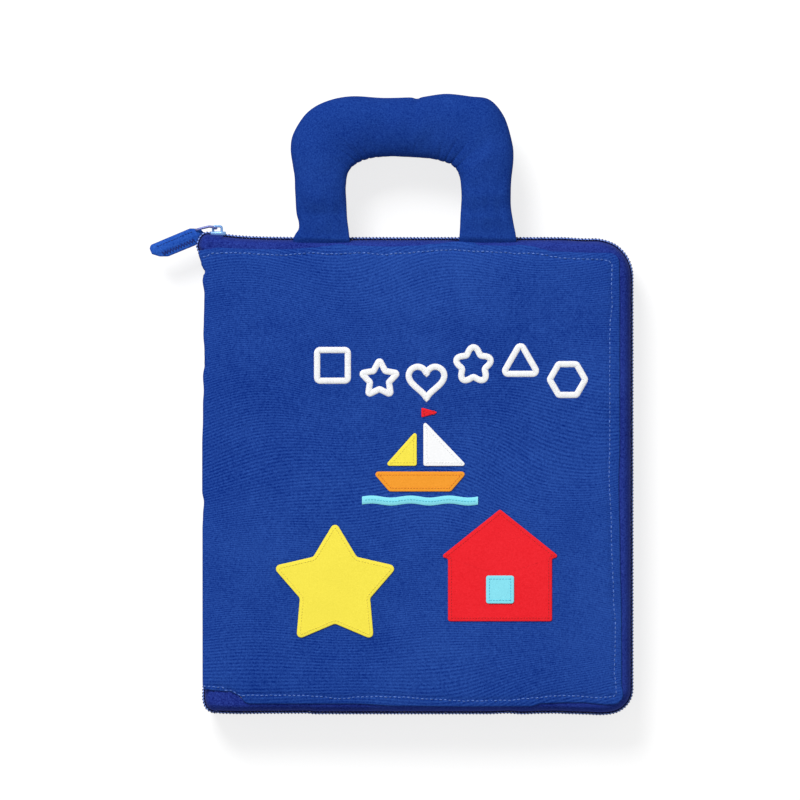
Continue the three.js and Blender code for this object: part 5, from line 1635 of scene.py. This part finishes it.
make("clock_felt", [pad(circle(dial_centre, dial_radius, 120), low[2], dial_top, edge=0.2, rings=16)],
     "leaf_one", felt["yellow"], ["clock_dial"])
hour_angle = np.arange(HOURS) * 2 * np.pi / HOURS
spokes = np.stack([np.cos(hour_angle), np.sin(hour_angle)], -1)
hour_marks = [hour_mark(spoke, 3.5 if hour % 3 else 7.0) for hour, spoke in enumerate(spokes)]
make("clock_hour_marks", hour_marks, "leaf_one", felt["navy"])
sew_round("clock_seam", circle(dial_centre, dial_radius - 2.4, 160), 2.6, level_at(dial_top), 1.7, 0.18,
          "leaf_one", white_thread)

# %% Clock hands and snap
HUB_RADIUS = 7.0
for title, finish, slot, length, width in (("hour", felt["red"], "felt_red", 30, 9),
                                           ("minute", felt["blue"], "felt_blue", 46, 7)):
    low, high = box(f"clock_{title}_hand")
    half, neck = width / 2, length - width
    turn = np.linspace(np.radians(60), np.radians(-240), 26)
    arrow = np.array([(-half, neck), (-width, neck), (0, length), (width, neck), (half, neck)], float)
    outline = np.concatenate([HUB_RADIUS * np.stack([np.cos(turn), np.sin(turn)], -1), arrow])
    outline = walked(looped(outline), 0.8)[0][:-1]
    make(f"clock_{title}_felt", [pad(outline + dial_centre, low[2], high[2], edge=0.15, rings=10)],
         f"{title}_hand", finish, [f"clock_{title}_hand"])
low, high = box("clock_rivet")
stem = [(2.4, low[2]), (2.4, high[2] - 0.7), (4.4, high[2] - 0.55), (4.45, high[2] - 0.3),
        (3.2, high[2] - 0.06), (1.6, high[2])]
stem_grid = np.stack([np.insert(circle(dial_centre, radius, 32), 2, level, axis=1) for radius, level in stem])
make("clock_snap", [grid_skin(stem_grid, wrap=(False, True))], "leaf_one", plastic["white"],
     ["clock_rivet"])

# %% Ribbon on the second leaf
ribbon_low, ribbon_high = box("counting_ribbon")
ribbon_x = np.linspace(ribbon_low[0], ribbon_high[0], 60)
ribbon_rise = np.clip(np.minimum(ribbon_x - ribbon_low[0], ribbon_high[0] - ribbon_x) - 10, 0, 3) / 3
ribbon_base = ribbon_low[2] + 0.05 + (ribbon_high[2] - ribbon_low[2] - 0.75) * ribbon_rise
ribbon_y = np.linspace(ribbon_low[1] + 0.15, ribbon_high[1] - 0.15, 10)
upper = np.stack(np.broadcast_arrays(ribbon_x[:, None], ribbon_y[None], (ribbon_base + 0.6)[:, None]), -1)
lower = np.stack(np.broadcast_arrays(ribbon_x[:, None], ribbon_y[None, ::-1], ribbon_base[:, None]), -1)
ribbon_cloth = woven("ribbon cloth", (54, 104, 196), pitch=0.6, depth=6)
make("counting_ribbon_cloth", [grid_skin(np.concatenate([upper, lower], 1), wrap=(False, True))], "leaf_two",
     ribbon_cloth, ["counting_ribbon"])

# %% Counters on the ribbon
COUNTER_WALL = 0.95
COUNTER_POINTS = 90
ROUND_HOLE, ROUND_RIM = 1.04, 0.96


def upright_rectangle(left, right, bottom, top, radius):
    """A rectangle with rounded corners across the ribbon, given by its sides."""
    line = closed_outline([(left, bottom), (right, bottom), (right, top), (left, top)], radius, 0.5)
    return line[np.linspace(0, len(line) - 1, COUNTER_POINTS).astype(int)]


for number, (word, colour) in enumerate(zip(("one", "two", "three"), ("red", "green", "orange")), start=1):
    low, high = box(f"counter_{number}")
    outer = upright_rectangle(low[1], high[1], low[2], high[2], 1.1)
    slot_half = (ribbon_high[1] - ribbon_low[1]) / 2 + 0.25
    slot_middle = (low[1] + high[1]) / 2
    hole = upright_rectangle(slot_middle - slot_half, slot_middle + slot_half, low[2] + COUNTER_WALL,
                             high[2] - COUNTER_WALL, 0.3)
    x_middle, x_half = (low[0] + high[0]) / 2, (high[0] - low[0]) / 2
    middle = np.array([slot_middle, (low[2] + high[2]) / 2])
    wide_hole, near_rim = middle + (hole - middle) * ROUND_HOLE, middle + (outer - middle) * ROUND_RIM
    loops = [np.insert(line, 0, x_middle + x, axis=1) for line, x in (
        (hole, -x_half + 0.3), (wide_hole, -x_half), (near_rim, -x_half), (outer, -x_half + 0.8),
        (outer, x_half - 0.8), (near_rim, x_half), (wide_hole, x_half), (hole, x_half - 0.3))]
    make(f"counter_{number}_bead", [outwards(grid_skin(np.array(loops), wrap=(True, True), capped=False))],
         f"counter_{word}", plastic[colour], [f"counter_{number}"])

# %% Felt shapes on the third leaf
for title, colour in (("circle", "red"), ("square", "green"), ("triangle", "orange")):
    low, high = box(f"felt_{title}")
    if title == "circle":
        outline = circle((low[:2] + high[:2]) / 2, (high[0] - low[0]) / 2, 80)
    elif title == "square":
        outline = rectangle(low[:2], high[:2], 2.5, 1.2)
    else:
        outline = closed_outline([(high[0], low[1]), ((low[0] + high[0]) / 2, high[1]), (low[0], low[1])],
                                 2.0, 1.0)
    skin = pad(outline, low[2], high[2], edge=0.7, swell=0.25, rings=12)
    shape = make(f"felt_{title}_pad", [skin], "leaf_three", felt[colour], [f"felt_{title}"])
    sew_round(f"felt_{title}_seam", shrunk(outline, 2.2), 2.4, level_at(high[2] - 0.05), 1.6, 0.2,
              "leaf_three", white_thread)

# %% Pocket on the fourth leaf
POCKET_CORNER = 10.0
low, high = box("pocket_panel")
pocket_outline = rectangle(low[:2], high[:2], POCKET_CORNER, 1.6)
pocket_skin = pad(pocket_outline, low[2] + 0.02, high[2], edge=0.25, swell=0.05, rings=14,
                  bed=lambda x, y: 0.03 * ripples(x, y, 22, 51))
pocket = make("pocket_cloth_panel", [pocket_skin], "leaf_four", pocket_cloth, ["pocket_panel"])
sew_round("pocket_seam", shrunk(pocket_outline, 2.5), 2.6, level_at(high[2]), 1.7, 0.18, "leaf_four",
          white_thread)

# %% The pocket's zip
POCKET_TAPE = 0.5
POCKET_TOOTH_STEP = 1.6
low, high = box("pocket_zip")
pocket_tape = pad(rectangle(low[:2], high[:2], 1.5, 1.2), low[2] + 0.02, low[2] + POCKET_TAPE, edge=0.15,
                  rings=8)
tooth_x = np.arange(low[0] + 2, high[0] - 2, POCKET_TOOTH_STEP)
tooth_y = (low[1] + high[1]) / 2
teeth = []
for side in (-1, 1):
    origins = np.stack([tooth_x + 0.4 * side, np.full(len(tooth_x), tooth_y + 0.55 * side),
                        np.full(len(tooth_x), low[2] + POCKET_TAPE + 0.2)], -1)
    teeth.append(copies(capsule(2.1, 0.42), origins, np.tile([0.25 * side, 1.0, 0.0], (len(tooth_x), 1))))
make("pocket_zip_tape", [pocket_tape], "leaf_four", tape_cloth, ["pocket_zip"])
make("pocket_zip_teeth", teeth, "leaf_four", plastic["white"])
low, high = box("pocket_slider")
slider_top = pad(rectangle(low[:2], high[:2], 2.4, 0.6), high[2] - 0.62, high[2] - 0.05, edge=0.25, rings=6)
rails = [pad(rectangle((low[0] + 1, y), (high[0] - 1, y + 0.9), 0.4, 0.5), low[2], high[2] - 0.5, edge=0.15)
         for y in (low[1] + 0.2, high[1] - 1.1)]
make("pocket_slider_cap", [slider_top, *rails], "pocket_pull", metal, ["pocket_slider"])


# %% [markdown]
# ## Camera, floor and light
# The photograph looks straight down from far away, so a long lens twelve metres up has almost no perspective.
# The book lies on a floor that is white to the camera. One soft lamp high on the left, beyond the handle's
# end, and a dim white world light it at a plain level, at which a colour looks as it is written.

# %% Camera
IMAGE_SIDE = 800
VIEW_CENTRE = from_pixels([(IMAGE_SIDE / 2, IMAGE_SIDE / 2)])[0] * MM
VIEW_WIDTH = IMAGE_SIDE * PIXEL * MM
CAMERA_HEIGHT = 12.0
FOCUS_LEVEL = 0.033
camera_data = bpy.data.cameras.new("view from above")
camera_data.sensor_width = 36
camera_data.lens = camera_data.sensor_width * (CAMERA_HEIGHT - FOCUS_LEVEL) / VIEW_WIDTH
camera_data.clip_end = 30
camera = bpy.data.objects.new("view from above", camera_data)
camera.location = (*VIEW_CENTRE, CAMERA_HEIGHT)
bpy.context.scene.collection.objects.link(camera)
bpy.context.scene.camera = camera


# %% Floor
FLOOR_HALF = 6.0
FLOOR_GLOW = 0.75
FLOOR_COLOUR = (0.35, 0.35, 0.35, 1)


def seen(tree):
    """A mask of 1 where the camera looks straight, by reflection or through glass: the highest of three
    masks."""
    path = tree.nodes.new("ShaderNodeLightPath")
    straight = math(tree, "MAXIMUM", path.outputs["Is Camera Ray"], path.outputs["Is Glossy Ray"])
    return math(tree, "MAXIMUM", straight, path.outputs["Is Transmission Ray"])


def white_to_camera(tree, emission_strength, surface_colour):
    """The output node gets a matt surface of the given colour, plus light of its own where it is seen."""
    tree.nodes.clear()
    diffuse = node(tree, "ShaderNodeBsdfDiffuse", {"Color": surface_colour})
    strength = math(tree, "MULTIPLY", seen(tree), emission_strength)
    glow = node(tree, "ShaderNodeEmission", {"Strength": strength})
    both = node(tree, "ShaderNodeAddShader", {0: diffuse.outputs[0], 1: glow.outputs[0]})
    out = tree.nodes.new("ShaderNodeOutputMaterial")
    tree.links.new(both.outputs[0], out.inputs["Surface"])


floor_mesh = bpy.data.meshes.new("floor")
floor_mesh.from_pydata([(x * FLOOR_HALF, y * FLOOR_HALF, 0) for x, y in ((-1, -1), (1, -1), (1, 1), (-1, 1))],
                       [], [(0, 1, 2, 3)])
floor = bpy.data.objects.new("floor", floor_mesh)
bpy.context.scene.collection.objects.link(floor)
floor_material = bpy.data.materials.new("floor")
floor_material.use_nodes = True
white_to_camera(floor_material.node_tree, FLOOR_GLOW, FLOOR_COLOUR)
floor_mesh.materials.append(floor_material)

# %% Light
WORLD_STRENGTH = 0.42
world = bpy.data.worlds.new("studio")
world.use_nodes = True
tree = world.node_tree
strength = node(tree, "ShaderNodeMapRange", {"Value": seen(tree), "To Min": WORLD_STRENGTH, "To Max": 1.0})
background = tree.nodes["Background"]
background.inputs["Color"].default_value = (1, 1, 1, 1)
tree.links.new(strength.outputs[0], background.inputs["Strength"])
bpy.context.scene.world = world


def soft_lamp(name, size, power, place):
    """A square soft lamp at a place, facing the middle of the floor."""
    data = bpy.data.lights.new(name, "AREA")
    data.size = size
    data.energy = power
    lamp = bpy.data.objects.new(name, data)
    lamp.location = place
    lamp.rotation_euler = (-Vector(place)).to_track_quat("-Z", "Y").to_euler()
    bpy.context.scene.collection.objects.link(lamp)


soft_lamp("key lamp", 1.3, 97, (-0.95, 2.05, 2.6))
bpy.context.scene.view_settings.view_transform = "Standard"
